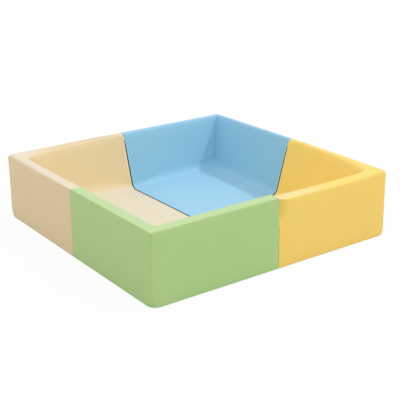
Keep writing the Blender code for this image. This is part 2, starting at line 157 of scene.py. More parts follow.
floor_material, tree, shader = make_material("studio_floor")
fill(tree, shader, Base_Color=(FLOOR_WHITE, FLOOR_WHITE, FLOOR_WHITE, 1), Roughness=FLOOR_ROUGHNESS,
     Specular_IOR_Level=0.0)
glow = add_node(tree, "ShaderNodeEmission", Color=(1, 1, 1, 1), Strength=GLOW_STRENGTH)
share = math_node(tree, "MULTIPLY", seen_directly(tree), FLOOR_GLOW)
mix = add_node(tree, "ShaderNodeMixShader", _0=share, _1=shader.outputs[0], _2=glow.outputs[0])
fill(tree, tree.nodes["Material Output"], Surface=mix.outputs[0])
half = FLOOR_SIZE / 2
floor_mesh = bpy.data.meshes.new("studio_floor")
floor_mesh.from_pydata([(-half, -half, -FLOOR_DROP), (half, -half, -FLOOR_DROP),
                        (half, half, -FLOOR_DROP), (-half, half, -FLOOR_DROP)], [], [(0, 1, 2, 3)])
floor_mesh.materials.append(floor_material)
floor = bpy.data.objects.new("studio_floor", floor_mesh)
bpy.context.scene.collection.objects.link(floor)
print("studio floor", FLOOR_SIZE, "m wide")

# %% [markdown]
# ## The covers' shape
# Each cover is drawn once in its module's own frame: u and v run inwards from the two outer faces,
# and z runs up. A section through the wall gives rows of points, which are swept from one joint
# plane round the corner to the other. A box with rounded edges could be bent to this shape too, but
# here the section has to change along the wall: the foam of the nearer walls is full, with a flat
# top and crisp edges, and the farther walls' tops have been sat soft.

# %% Sizes
MODULES = ("green", "yellow", "blue", "beige")
MODULE_LENGTH = 0.800
WALL_HEIGHT = 0.403
SLOPE = math.radians(16.1)  # of the inner faces, from upright
PAD_HEIGHT = 0.056  # of the padded floor
COVER_BOTTOM = 0.0028
CLOTH = 0.0012
HEM = 0.026  # turned under, onto the base panel
BOTTOM_RADIUS = 0.009
OUTER_TOP_RADIUS = 0.004
CRISP_EDGE = 0.012  # inner edges up to this radius leave the outer edge crisp
OUTER_SHARE = 0.55  # of an inner edge's radius beyond that, which the outer edge gets too
COVE_RADIUS = 0.046  # at the joints
TOP_END_RADIUS = 0.004  # where a top's inner edge turns into the joint
LIP_RADIUS = 0.0012  # the same along the inner faces and the floor
OUTER_CORNER_RADIUS = 0.005
FOOT_CORNERS = {"green": (0.055, 0.100), "yellow": (0.030, 0.055), "blue": (0.030, 0.055),
                "beige": (0.040, 0.066)}  # radius of the upright corner at the foot, and its height
FOOT_CORNER_POWER = 1.7  # how quickly it grows towards the foot
FOOT_SPREAD = 0.0035  # of the outer faces, pressed out by their own weight
OPEN_GAP = 0.0042  # from a joint plane to the cover, where the strips lie
CLOSED_GAP = 0.0005  # where two covers press on each other
LIP_DEPTH = 0.0007  # of the lips in front of the strips
LIP_HEIGHTS = (0.06, 0.21, 0.350, 0.380)
LIP_GAPS = (0.0056, 0.0046, 0.0034, CLOSED_GAP)  # from the joint plane to the lip, at those heights

# Each module's section at its first joint, its corner and its second joint: width of the top, radius
# of its inner edge, how far the top lies below the full height, radius of the cove at the wall's foot,
# and height of the padded floor there
SHAPES = {
    "green": {"first": (0.070, 0.009, 0.001, COVE_RADIUS, PAD_HEIGHT),
              "corner": (0.073, 0.012, 0.000, 0.070, 0.062),
              "second": (0.074, 0.009, -0.004, COVE_RADIUS, PAD_HEIGHT)},
    "yellow": {"first": (0.083, 0.009, 0.014, COVE_RADIUS, PAD_HEIGHT),
               "corner": (0.080, 0.034, 0.002, 0.080, 0.066),
               "second": (0.034, 0.026, -0.006, COVE_RADIUS, PAD_HEIGHT)},
    "blue": {"first": (0.034, 0.026, -0.006, COVE_RADIUS, PAD_HEIGHT),
             "corner": (0.032, 0.022, -0.006, 0.080, 0.072),
             "second": (0.034, 0.026, -0.004, COVE_RADIUS, PAD_HEIGHT)},
    "beige": {"first": (0.034, 0.026, -0.004, COVE_RADIUS, PAD_HEIGHT),
              "corner": (0.076, 0.040, -0.003, 0.110, 0.070),
              "second": (0.071, 0.009, 0.003, COVE_RADIUS, PAD_HEIGHT)},
}
INNER_CORNER_RADIUS = {"green": 0.028, "yellow": 0.045, "blue": 0.008, "beige": 0.050}
OUTER_END_RADIUS = {"green": (0.003, 0.003), "yellow": (0.0035, 0.006), "blue": (0.006, 0.006),
                    "beige": (0.006, 0.0035)}  # where each wall's outer face turns into the joint
PRESSED_CORNER = {"yellow": (0.046, 0.047)}  # of the first wall's top at the joint: length and depth
PRESSED_FROM = 0.55  # of the wall's height, where it begins

# How many steps each stretch of the section gets, then the corner in plan and each leg. A top's land
# counts twice, once on each side of its middle.
FINE = {"bottom": 6, "face": 30, "top": 4, "land": 4, "inner": 6, "cove": 9, "corner": 6, "leg": 54}
COARSE = {"bottom": 2, "face": 15, "top": 1, "land": 2, "inner": 2, "cove": 4, "corner": 2, "leg": 28}

# %% Section


def section(land, edge, drop, cove, pad, steps):
    """Rows of (inwards, up, normal inwards, normal up, place in the list of stretches).

    The last value counts the stretches: 0 hem, 1 bottom edge, 2 outer face, 3 top edge, 4 top,
    6 inner edge, 7 inner face, 8 cove. As many rows lie before the top's middle as after it.
    """
    top = WALL_HEIGHT - drop
    outer = OUTER_TOP_RADIUS + OUTER_SHARE * max(edge - CRISP_EDGE, 0.0)
    rows = [(BOTTOM_RADIUS + HEM, COVER_BOTTOM, 0.0, -1.0, 0.0)]

    def round_edge(centre, radius, start, end, count, stretch):
        side = -1.0 if stretch == 8 else 1.0
        for step in range(count + 1):
            angle = start + (end - start) * step / count
            across, rise = math.cos(angle), math.sin(angle)
            rows.append((centre[0] + side * radius * across, centre[1] + side * radius * rise,
                         across, rise, stretch + step / count))

    def flat(last, count, stretch):
        first = rows[-1]
        for step in range(1, count):
            part = step / count
            rows.append((first[0] + (last[0] - first[0]) * part, first[1] + (last[1] - first[1]) * part,
                         first[2], first[3], stretch + part))

    round_edge((BOTTOM_RADIUS, COVER_BOTTOM + BOTTOM_RADIUS), BOTTOM_RADIUS, -math.pi / 2, -math.pi,
               steps["bottom"], 1)
    flat((0.0, top - outer), steps["face"], 2)
    round_edge((outer, top - outer), outer, math.pi, math.pi / 2, steps["top"], 3)
    back_in = edge * (math.sin(SLOPE) - 1.0) / math.cos(SLOPE)
    flat((land + back_in, top), 2 * steps["land"], 4)
    round_edge((land + back_in, top - edge), edge, math.pi / 2, SLOPE, steps["inner"], 6)
    up = pad + cove
    run = land + (cove + (top - up) * math.sin(SLOPE)) / math.cos(SLOPE)
    inner_face = steps["bottom"] + steps["face"] + steps["top"] - steps["inner"] - steps["cove"] + 1
    flat((run - cove * math.cos(SLOPE), up - cove * math.sin(SLOPE)), inner_face, 7)
    round_edge((run, up), cove, SLOPE, math.pi / 2, steps["cove"], 8)
    rows = np.array(rows)
    rows[:, 0] -= np.where(rows[:, 4] <= 3.0, FOOT_SPREAD * (1.0 - rows[:, 1] / top) ** 2, 0.0)
    return rows


print("section rows:", len(section(*SHAPES["green"]["corner"], FINE)))

# %% [markdown]
# ## From the section to a skin
# The section is swept along both legs. Its corner is an arc in plan, sharp outside and rounder
# inside. Where a face meets the joint plane it turns in with a small radius. The floor is a plain
# square grid, so that it has no pole in the middle of the pen, where the four modules meet.

# %% Sweep
SECTION_CHANGE = 2.5  # how soon after the corner a wall takes its own section
EDGE_CHANGE = 1.5  # how near the joint its top's edge takes its own
FOOT_CHANGE = 4.0  # the same for its foot
SEAM_DEPTH = 0.0009
INNER_SEAM_DEPTH = 0.0016
# painted shade in the inner corner's seam
INNER_SEAM_SHADE = 1.25
CREST_SHADE = 0.3  # painted shade on the crests of soft tops, against a seam's
PALE_CORNERS = {"beige": 0.35}  # tops whose corner keeps its painted sheen without painted crest shade: none on the second wall, and on the first it comes in over this share, from the corner
END_SHADE = 0.5  # painted shade at the ends of the outer faces and tops, where they turn into the joint
PAINTED_LIP_HIGHLIGHT = -0.6  # painted highlight on the lips at the inner joints, given as a negative shade
SOFT_EDGE = 0.020  # an inner edge rounder than this loses its seam
SOFT_RANGE = 0.005  # over which it does
CORNER_REACH = 0.2  # how far the corner's round plan reaches into the floor's grid
END_PARTS = (0.0, 0.29, 1.0)  # columns within the end's radius
STRIP_REACH = 0.046  # of the strips, from the inner face outwards
STRIP_TOP_MARGIN = 0.042
FADE = 0.015
MOST_LIP = 0.25  # share of an end face's width that a lip takes at most


def ramp(value, low, high):
    """0 up to low, 1 from high, and smooth between."""
    part = np.clip((value - low) / (high - low), 0.0, 1.0)
    return part * part * (3 - 2 * part)


def lip_gap(rows):
    """From the joint plane to the cover's surface: a black line shows low down, none at the top."""
    return np.where(rows[:, 4] <= 6.0, CLOSED_GAP, np.interp(rows[:, 1], LIP_HEIGHTS, LIP_GAPS))


def joint_gap(inwards, up, shape):
    """The same behind the lips: shut at the outside and the top, open over the strips."""
    face = shape[0] + (WALL_HEIGHT - shape[2] - up) * math.tan(SLOPE)
    shut = np.maximum(ramp(face - inwards, STRIP_REACH, STRIP_REACH + FADE),
                      ramp(up, WALL_HEIGHT - STRIP_TOP_MARGIN - FADE, WALL_HEIGHT - STRIP_TOP_MARGIN + FADE))
    return OPEN_GAP + (CLOSED_GAP - OPEN_GAP) * shut


def corner_radius(colour, rows, land):
    """The plan radius of the upright corner at each row."""
    part = np.clip(rows[:, 0] / land, 0.0, 1.0)
    inner = OUTER_CORNER_RADIUS + (INNER_CORNER_RADIUS[colour] - OUTER_CORNER_RADIUS) * part
    foot_radius, foot_height = FOOT_CORNERS[colour]
    foot = np.clip(1.0 - rows[:, 1] / foot_height, 0.0, 1.0) ** FOOT_CORNER_POWER
    outer = OUTER_CORNER_RADIUS + (foot_radius - OUTER_CORNER_RADIUS) * foot
    return np.where(rows[:, 4] <= 3.0, outer, inner)


def rounded_off(distance, radius):
    """How far a surface has drawn in, this far from its rounded end."""
    near = np.clip(radius - distance, 0.0, None)
    return radius - np.sqrt(radius**2 - near**2)


def pressed_in(colour, which, rows, distance):
    """How far a pressed corner has sunk inwards at each row, this far from the joint plane."""
    length, depth = PRESSED_CORNER.get(colour, (1.0, 0.0)) if which == 0 else (1.0, 0.0)
    outer_face = ramp(rows[:, 1], PRESSED_FROM * WALL_HEIGHT, WALL_HEIGHT)
    weight = np.where(rows[:, 4] <= 3.0, outer_face, np.clip(5.0 - rows[:, 4], 0.0, 1.0))
    return depth * np.clip(1.0 - distance / length, 0.0, 1.0) * weight


def sweep_leg(colour, which, steps, start, inset):
    """One wall from its joint plane to its corner: (columns, rows, [inwards, place, up, painted shade])."""
    shapes = SHAPES[colour]
    outer_radius = OUTER_END_RADIUS[colour][which]
    last = shapes["second" if which else "first"]
    found, counts = [], []
    for part in END_PARTS[:-1] + tuple(range(steps["leg"] + 1)):
        at_end = len(counts) < len(END_PARTS) - 1
        free = 1.0 if at_end else 1.0 - part / steps["leg"]
        soon = 1.0 - (1.0 - free) ** SECTION_CHANGE
        weights = (soon, free**EDGE_CHANGE, soon, free**FOOT_CHANGE, free**FOOT_CHANGE)
        shape = [a + (b - a) * weight for a, b, weight in zip(shapes["corner"], last, weights)]
        rows = section(*shape, steps)
        radius = np.interp(rows[:, 4], (4.0, 6.0, 7.0), (outer_radius, TOP_END_RADIUS, LIP_RADIUS))
        distance = radius * part if at_end else radius
        end = MODULE_LENGTH - (OPEN_GAP if inset else lip_gap(rows)) - inset
        place = end - distance if at_end else start + (end - radius - start) * free
        drawn = rounded_off(distance, radius) + inset
        pressed = pressed_in(colour, which, rows, end - place)
        soft = np.clip((shape[1] - SOFT_EDGE) / SOFT_RANGE, 0.0, 1.0)
        # Seams along the top's two edges: sunk a little, and marked for painted shade in their groove
        seam = (np.isclose(rows[:, 4], 3.5) * 1.0 + np.isclose(rows[:, 4], 6.5)) * (1.0 - soft)
        if inset == 0.0 and not at_end:
            drawn = drawn + seam * SEAM_DEPTH
        # Soft tops get painted shade on their crest
        painted_crest = CREST_SHADE * soft
        if colour in PALE_CORNERS:
            painted_crest *= 0.0 if which else ramp(free, 0.0, PALE_CORNERS[colour])
        shade = seam + painted_crest * ramp(rows[:, 4], 3.0, 3.8) * (1.0 - ramp(rows[:, 4], 6.2, 7.0))
        # At the joint, the outer face and the top get painted shade where they turn in
        if at_end:
            shade = shade + END_SHADE * (rows[:, 4] <= 6.0)
        # The lips of the inner face, cove and floor get a painted highlight
        if part == 0 or at_end:
            shade = shade + PAINTED_LIP_HIGHLIGHT * (rows[:, 4] > 7.0)
        found.append(np.stack([rows[:, 0] + pressed - drawn * rows[:, 2], place,
                               rows[:, 1] - drawn * rows[:, 3], shade], 1))
        counts.append(part if at_end else 1.0 + part / steps["leg"])
    return np.array(found), np.array(counts)


def sweep(colour, steps, inset=0.0):
    """The skin of walls and cove: (rows, columns, [u, v, z, painted shade]), with the counts of both ways.
    """
    corner = section(*SHAPES[colour]["corner"], steps)
    radius = corner_radius(colour, corner, SHAPES[colour]["corner"][0])
    centre = corner[:, 0] + radius
    inwards, up = corner[:, 0] - inset * corner[:, 2], corner[:, 1] - inset * corner[:, 3]
    first, counts = sweep_leg(colour, 0, steps, centre, inset)
    second, _ = sweep_leg(colour, 1, steps, centre, inset)
    arc, arc_counts = [], []
    outside = np.where(corner[:, 4] <= 3.0, 1.0, -1.0)
    upright = np.where((corner[:, 4] >= 2.0) & (corner[:, 4] <= 3.0) | (corner[:, 4] >= 7.0), 1.0, 0.0)
    depth = np.where(outside > 0, SEAM_DEPTH * (0.3 + 0.7 * corner[:, 1] / WALL_HEIGHT), INNER_SEAM_DEPTH)
    for step in range(1, steps["corner"]):
        angle = math.pi + math.pi / 2 * step / steps["corner"]
        middle = 1.0 if 2 * step == steps["corner"] and inset == 0.0 else 0.0
        groove = middle * upright * depth * outside * math.sqrt(0.5)
        reach = centre - inwards
        # Painted shade in the corner's seams: inside, strongest in the middle and darker towards the foot;
        # outside, on the middle column, fading out towards the foot
        inner = INNER_SEAM_SHADE * (1.0 - abs(2.0 * step / steps["corner"] - 1.0))
        inner = inner * (1.0 - 0.5 * up / WALL_HEIGHT)
        outer = middle * (corner[:, 1] / WALL_HEIGHT) ** 2
        shade = np.where(outside > 0, outer, inner * (corner[:, 4] <= 8.0)) * upright
        shade = np.maximum(shade, first[-1, :, 3])
        arc.append(np.stack([centre + reach * math.cos(angle) + groove,
                             centre + reach * math.sin(angle) + groove, up, shade], 1))
        arc_counts.append(2.0 + step / steps["corner"])
    second = second[::-1][:, :, [1, 0, 2, 3]]
    grid = np.concatenate([first, np.array(arc), second]).transpose(1, 0, 2)
    return grid, corner[:, 4], np.concatenate([counts, arc_counts, 5.0 - counts[::-1]])


def floor_grid(grid):
    """The quarter floor inside the last row of the skin, as a square grid from its corner."""
    ring = grid[-1]
    middle = len(ring) // 2
    first, second = ring[middle::-1], ring[middle:]
    fade_first = np.clip(1.0 - (first[:, 1] - first[0, 1]) / CORNER_REACH, 0.0, 1.0) ** 2
    fade_second = np.clip(1.0 - (second[:, 0] - second[0, 0]) / CORNER_REACH, 0.0, 1.0) ** 2
    u = second[None, :, 0] + (first[:, None, 0] - first[0, 0]) * fade_second[None, :]
    v = first[:, None, 1] + (second[None, :, 1] - second[0, 1]) * fade_first[:, None]
    flat, rise = ring[0, 2], ring[middle, 2] - ring[0, 2]
    z = flat + (first[:, None, 2] - flat) * (second[None, :, 2] - flat) / max(rise, 1e-6)
    return np.stack([u, v, z, np.zeros_like(u)], 2)


def end_grids(grid, floor, which, shape, steps):
    """The end face at a joint plane: rungs across the wall, and the edge of the floor below."""
    column = grid[:, -1 if which else 0]
    edge = floor[:, -1] if which else floor[-1]
    across, along = (1, 0) if which else (0, 1)
    middle = len(column) // 2

    def rungs(starts, ends):
        width = np.linalg.norm(ends - starts, axis=1)[:, None]
        lip = np.minimum(LIP_DEPTH / np.maximum(width, LIP_DEPTH), MOST_LIP)
        between = lip + (1 - 2 * lip) * np.linspace(0.0, 1.0, 2 * steps["land"] - 1)
        parts = np.concatenate([0 * lip, between, 0 * lip + 1], 1)[..., None]
        made = starts[:, None] * (1 - parts) + ends[:, None] * parts
        gap = joint_gap(made[..., across], made[..., 2], shape)
        made[:, 1:-1, along] = (MODULE_LENGTH - gap)[:, 1:-1]
        made[..., 3] = 0.0
        return made

    outer_top, inner_top = middle - steps["land"], middle + steps["land"]
    wall = rungs(column[:outer_top + 1], column[:inner_top - 1:-1])
    wall[-1] = column[outer_top:inner_top + 1]
    foot = edge[-1].copy()
    foot[2] = column[0, 2]
    shares = np.linspace(0.0, 1.0, len(edge))[:, None]
    below = rungs(column[0] * (1 - shares) + foot * shares, edge)
    below[-1, 1:-1, across] = below[-1, 1:-1, along]
    return wall, below


example = sweep("green", FINE)[0]
print("skin", example.shape, "floor", floor_grid(example).shape)

# %% [markdown]
# The pieces of skin are joined where their edges meet. Its bottom stays open, as the base panel
# closes it, and a Solidify modifier gives the cloth its thickness inwards.

# %% Skin
MERGE = 0.00002


def turned(points, colour):
    """Points from a module's own frame in the pen's frame, a quarter turn per module."""
    x, y = points[..., 0] - MODULE_LENGTH, points[..., 1] - MODULE_LENGTH
    for _ in range(MODULES.index(colour)):
        x, y = -y, x
    return np.stack([x, y, points[..., 2]], -1)


def mesh_from_grids(name, colour, grids, flat_ends=()):
    """One mesh from grids of points that share their borders, with its painted shade as an attribute."""
    mesh = bmesh.new()
    painted_shade = mesh.verts.layers.float.new("painted_shade")
    for grid in grids:
        places = turned(grid, colour)
        verts = []
        for line, marks in zip(places, grid[..., 3]):
            verts.append([mesh.verts.new(place) for place in line])
            for vert, mark in zip(verts[-1], marks):
                vert[painted_shade] = mark
        for one, other in zip(verts, verts[1:]):
            for index in range(len(one) - 1):
                mesh.faces.new((one[index], one[index + 1], other[index + 1], other[index]))
    for loop in flat_ends:
        mesh.faces.new([mesh.verts.new(place) for place in turned(loop, colour)])
    bmesh.ops.remove_doubles(mesh, verts=mesh.verts, dist=MERGE)
    bmesh.ops.recalc_face_normals(mesh, faces=mesh.faces)
    data = bpy.data.meshes.new(name)
    mesh.to_mesh(data)
    mesh.free()
    data.shade_smooth()
    return data


def new_object(name, data, material=None):
    piece = bpy.data.objects.new(name, data)
    bpy.context.scene.collection.objects.link(piece)
    if material is not None:
        data.materials.clear()
        data.materials.append(material)
    return piece


def skin_grids(colour, moved):
    """All the grids of one module's skin, moved by what the simulation gave, if it ran."""
    grid, rows, columns = sweep(colour, FINE)
    floor = floor_grid(grid)
    if moved is not None:
        grid[..., :3] += moved.walls(rows, columns)
        floor[..., :3] += moved.floor(columns)
    grids = [grid, floor]
    for which, name in enumerate(("first", "second")):
        grids += end_grids(grid, floor, which, SHAPES[colour][name], FINE)
    return grids


print("grids in one skin:", len(skin_grids("green", None)))

# %% [markdown]
# ## Stuffing the covers
# Foam presses the sewn cover out between its seams, which hold it in. A coarse copy of each skin is
# simulated as cloth under a light pressure, with its seams, its hem and its ends pinned. Noise could
# swell the faces as well, but it knows nothing of the seams. Only the movement is kept: it is capped,
# and carried over to the fine skin by place along the two ways.

# %% Simulation
PRESSURE = 1.5
CLOTH_STIFFNESS = 80.0
CLOTH_SETTINGS = {"quality": 5, "mass": 0.4, "tension_stiffness": CLOTH_STIFFNESS,
                  "compression_stiffness": CLOTH_STIFFNESS, "shear_stiffness": 8.0, "bending_stiffness": 1.0,
                  "vertex_group_mass": "pins", "use_pressure": True, "uniform_pressure_force": PRESSURE}
SIMULATED_FRAMES = 20
MOST_MOVEMENT = 0.0035


class Movement:
    """How far each place of a module's skin moves, from the coarse grids' own places."""

    def __init__(self, rows, columns, walls, floor):
        self.rows, self.columns, self.wall_moves, self.floor_moves = rows, columns, walls, floor

    @staticmethod
    def spread(known, moves, wanted):
        """Moves between the known ones along their first axis, blended smoothly."""
        after = np.clip(np.searchsorted(known, wanted, side="right"), 1, len(known) - 1)
        before = after - 1
        part = np.clip((wanted - known[before]) / (known[after] - known[before]), 0.0, 1.0)
        part = ramp(part, 0.0, 1.0).reshape(-1, *[1] * (moves.ndim - 1))
        return moves[before] * (1 - part) + moves[after] * part

    def walls(self, rows, columns):
        along = self.spread(self.rows, self.wall_moves, rows)
        return self.spread(self.columns, along.transpose(1, 0, 2), columns).transpose(1, 0, 2)

    def floor(self, columns):
        half, known = len(columns) // 2, len(self.columns) // 2
        wanted_first, wanted_second = 2.5 - columns[half::-1], columns[half:] - 2.5
        known_first, known_second = 2.5 - self.columns[known::-1], self.columns[known:] - 2.5
        along = self.spread(known_first, self.floor_moves, wanted_first)
        return self.spread(known_second, along.transpose(1, 0, 2), wanted_second).transpose(1, 0, 2)


def simulation_mesh(grid, floor):
    """A closed mesh of the coarse grids, with the vertex numbers of both."""
    rows, columns = grid.shape[:2]
    wall_ids = np.arange(rows * columns).reshape(rows, columns)
    half = columns // 2
    size = len(floor)
    floor_ids = np.full((size, size), -1)
    floor_ids[:, 0] = wall_ids[-1, half::-1]
    floor_ids[0, :] = wall_ids[-1, half:]
    free = floor_ids < 0
    floor_ids[free] = rows * columns + np.arange(free.sum())
    points = np.concatenate([grid[..., :3].reshape(-1, 3), floor[free][:, :3]])
    foot = len(points)
    points = np.concatenate([points, [[floor[-1, -1, 0], floor[-1, -1, 1], grid[0, 0, 2]]]])
    faces = []
    for ids in (wall_ids, floor_ids):
        quads = np.stack([ids[:-1, :-1], ids[:-1, 1:], ids[1:, 1:], ids[1:, :-1]], -1).reshape(-1, 4)
        faces += [list(map(int, quad)) for quad in quads]
    faces.append([*map(int, wall_ids[:, 0]), *map(int, floor_ids[-1, 1:]), foot])
    faces.append([*map(int, wall_ids[:, -1]), *map(int, floor_ids[1:, -1]), foot])
    faces.append([*map(int, wall_ids[0]), foot])
    return points, faces, wall_ids, floor_ids


def simulate(colour):
    """The movement of one module's skin under pressure."""
    grid, rows, columns = sweep(colour, COARSE)
    floor = floor_grid(grid)
    points, faces, wall_ids, floor_ids = simulation_mesh(grid, floor)
    data = bpy.data.meshes.new("stuffed")
    data.from_pydata(points.tolist(), [], faces)
    mesh = bmesh.new()
    mesh.from_mesh(data)
    bmesh.ops.recalc_face_normals(mesh, faces=mesh.faces)
    mesh.to_mesh(data)
    mesh.free()
    piece = new_object("stuffed", data)

    held_rows = (rows <= 2.0) | ((rows >= 3.0) & (rows <= 4.0)) | ((rows >= 6.0) & (rows <= 7.0))
    held_columns = (columns <= 1.0) | ((columns >= 2.0) & (columns <= 3.0)) | (columns >= 4.0)
    held = set(wall_ids[held_rows].ravel()) | set(wall_ids[:, held_columns].ravel())
    edge = sum(part < 1.0 for part in END_PARTS) + 1
    held |= set(floor_ids[-edge:].ravel()) | set(floor_ids[:, -edge:].ravel()) | {len(points) - 1}
    pins = piece.vertex_groups.new(name="pins")
    pins.add([int(index) for index in held], 1.0, "REPLACE")

    cloth = piece.modifiers.new("cloth", "CLOTH")
    for setting, value in CLOTH_SETTINGS.items():
        setattr(cloth.settings, setting, value)
    cloth.settings.effector_weights.gravity = 0.0
    cloth.point_cache.frame_start, cloth.point_cache.frame_end = 1, SIMULATED_FRAMES
    scene = bpy.context.scene
    scene.frame_start, scene.frame_end = 1, SIMULATED_FRAMES
    for frame_number in range(1, SIMULATED_FRAMES + 1):
        scene.frame_set(frame_number)
    evaluated = piece.evaluated_get(bpy.context.evaluated_depsgraph_get()).to_mesh()
    moves = np.array([vert.co for vert in evaluated.vertices]) - points
    scene.frame_set(1)
    bpy.data.objects.remove(piece)
    length = np.linalg.norm(moves, axis=1, keepdims=True) + 1e-9
    moves *= np.tanh(length / MOST_MOVEMENT) * MOST_MOVEMENT / length
    print(colour, "moved by up to %.1f mm, on average %.1f mm" % (1000 * length.max(), 1000 * length.mean()))
    return Movement(rows, columns, moves[wall_ids], moves[floor_ids])


movements = {colour: simulate(colour) for colour in MODULES}

# %% [markdown]
# ## Leathercloth
# The covers are a wipe-clean coated cloth: matt plastic with a fine pebbled grain, even in colour and
# a little paler where the light grazes it, from the shader's sheen and from a painted sheen on faces
# that look up. A picture of such a cloth could be laid on, but it would stretch and repeat. So the
# grain, the faint mottling, the painted sheen and the painted shade of seams, crests and joint ends
# come from a node group that every cover shares, and each colour is a material of its own.

# %% Shader groups
GROUP_OUTPUTS = {"Colour": "Color", "Roughness": "Float", "Height": "Float"}


def shader_group(name, inputs):
    """An empty group with these input values and the three outputs, and what it is given."""
    group = bpy.data.node_groups.new(name, "ShaderNodeTree")
    for socket, value in inputs.items():
        kind = "NodeSocketColor" if isinstance(value, tuple) else "NodeSocketFloat"
        group.interface.new_socket(socket, in_out="INPUT", socket_type=kind).default_value = value
    for socket, kind in GROUP_OUTPUTS.items():
        group.interface.new_socket(socket, in_out="OUTPUT", socket_type=f"NodeSocket{kind}")
    return group, group.nodes.new("NodeGroupInput").outputs


def put_out(group, *made):
    """Link a group's colour, roughness and height to its outputs."""
    add_node(group, "NodeGroupOutput", **dict(zip(GROUP_OUTPUTS, made)))
    return group


def place(tree):
    """Where a point lies on its piece, in metres."""
    return add_node(tree, "ShaderNodeTexCoord").outputs["Object"]


def noise(tree, vector, scale, detail=2.0):
    """A noise value around 0.5."""
    return add_node(tree, "ShaderNodeTexNoise", Vector=vector, Scale=scale, Detail=detail).outputs[0]


def mapped(tree, value, low, high, to_low, to_high):
    """A value's range mapped to another, and held at its ends."""
    return add_node(tree, "ShaderNodeMapRange", Value=value, From_Min=low, From_Max=high,
                    To_Min=to_low, To_Max=to_high).outputs["Result"]


def scaled(tree, colour, factor):
    """A colour or a vector times a factor."""
    return add_node(tree, "ShaderNodeVectorMath", {"operation": "SCALE"}, _0=colour, Scale=factor).outputs[0]


GRAIN_BEND = 0.0006  # how far noise shifts the grain's cells
VALLEY = 0.22  # of a cell's size, from its edge to where the pebble is full
VALLEY_SHADE = 0.97  # of the valleys between the pebbles
VALLEY_ROUGHNESS = 0.08  # more than on the pebbles
CLOUDS, FLECKS = 5.0, 160.0  # per metre, of the broad mottling and the fine
WORN_PATCHES = 14.0  # per metre
WORN_REACH = 0.05  # of roughness, more or less
PAINTED_SHEEN_UPWARD = (0.5, 0.95)  # how far up a face looks, where the painted sheen begins and where it is full
SHADE_WITHOUT_SHEEN = 0.3  # painted shade this strong gets no painted sheen
NOISE_REACH = (0.3, 0.7)  # where most of a noise's values lie


def leathercloth_group():
    """Colour, roughness and grain height of the coated cloth."""
    group, given = shader_group(
        "leathercloth", {"Colour": (0.5, 0.5, 0.5, 1.0), "Faded Colour": (0.5, 0.5, 0.5, 1.0),
                         "Roughness": 0.5, "Grain Size": 0.0013, "Mottling": 0.035, "Seam Darkness": 0.3})
    at = place(group)
    per_metre = math_node(group, "DIVIDE", 1.0, given["Grain Size"])
    bent = add_node(group, "ShaderNodeTexNoise", Vector=at, Scale=per_metre, Detail=1.0).outputs["Color"]
    shifted = scaled(group, bent, GRAIN_BEND)
    grain_at = add_node(group, "ShaderNodeVectorMath", {"operation": "ADD"}, _0=at, _1=shifted).outputs[0]
    pebbles = add_node(group, "ShaderNodeTexVoronoi", {"feature": "DISTANCE_TO_EDGE"}, Vector=grain_at,
                       Scale=per_metre).outputs["Distance"]
    pebble = mapped(group, pebbles, 0.0, VALLEY, 0.0, 1.0)
    cloud = math_node(group, "SUBTRACT", noise(group, at, CLOUDS, 3.0), 0.5)
    fine = math_node(group, "SUBTRACT", noise(group, at, FLECKS), 0.5)
    mottled = math_node(group, "MULTIPLY_ADD", math_node(group, "ADD", cloud, fine), given["Mottling"], 1.0)
    valley = mapped(group, pebble, 0.0, 1.0, VALLEY_SHADE, 1.0)
    # The mesh attribute read here darkens the seams, soft crests and joint ends with painted shade, and its
    # negative values lighten the inner lips with a painted highlight
    seam = add_node(group, "ShaderNodeAttribute", {"attribute_name": "painted_shade"}).outputs["Fac"]
    darkened = math_node(group, "MULTIPLY", seam, given["Seam Darkness"])
    seam_shade = math_node(group, "SUBTRACT", 1.0, darkened)
    level = math_node(group, "MULTIPLY", math_node(group, "MULTIPLY", mottled, valley), seam_shade)
    # Faces that look up are mixed towards the paler colour, a painted sheen, except where the painted shade
    # is strong
    normal = add_node(group, "ShaderNodeTexCoord").outputs["Normal"]
    upward = add_node(group, "ShaderNodeSeparateXYZ", Vector=normal).outputs["Z"]
    sheen_allowed = mapped(group, seam, 0.0, SHADE_WITHOUT_SHEEN, 1.0, 0.0)
    share = math_node(group, "MULTIPLY", mapped(group, upward, *PAINTED_SHEEN_UPWARD, 0.0, 1.0), sheen_allowed)
    painted_sheen = add_node(group, "ShaderNodeMix", {"data_type": "RGBA"}, _0=share,
                     _6=given["Colour"], _7=given["Faded Colour"]).outputs[2]
    rubbed = mapped(group, noise(group, at, WORN_PATCHES, 3.0), *NOISE_REACH, -WORN_REACH, WORN_REACH)
    rough = math_node(group, "ADD", math_node(group, "ADD", given["Roughness"], rubbed),
                      mapped(group, pebble, 0.0, 1.0, VALLEY_ROUGHNESS, 0.0))
    return put_out(group, scaled(group, painted_sheen, level), rough, pebble)


LEATHERCLOTH = leathercloth_group()
print("shader group:", LEATHERCLOTH.name)

# %% Leathercloth in four colours
COLOURS = {"green": (0.440, 0.650, 0.246), "yellow": (0.985, 0.688, 0.150),
           "blue": (0.270, 0.560, 0.790), "beige": (0.80, 0.63, 0.370)}
# The paler colours of the painted sheen on faces that look up
PAINTED_SHEEN_COLOURS = {"green": (0.440, 0.610, 0.290), "yellow": (0.965, 0.645, 0.255),
                 "blue": (0.290, 0.550, 0.750), "beige": (0.703, 0.620, 0.475)}
CLOTH_ROUGHNESS = 0.58
CLOTH_SHEEN = 0.3
SHEEN_ROUGHNESS = 0.3
CLOTH_SPECULAR = 0.5
BUMP_STRENGTH = 0.6
GRAIN_DEPTH = 0.00010


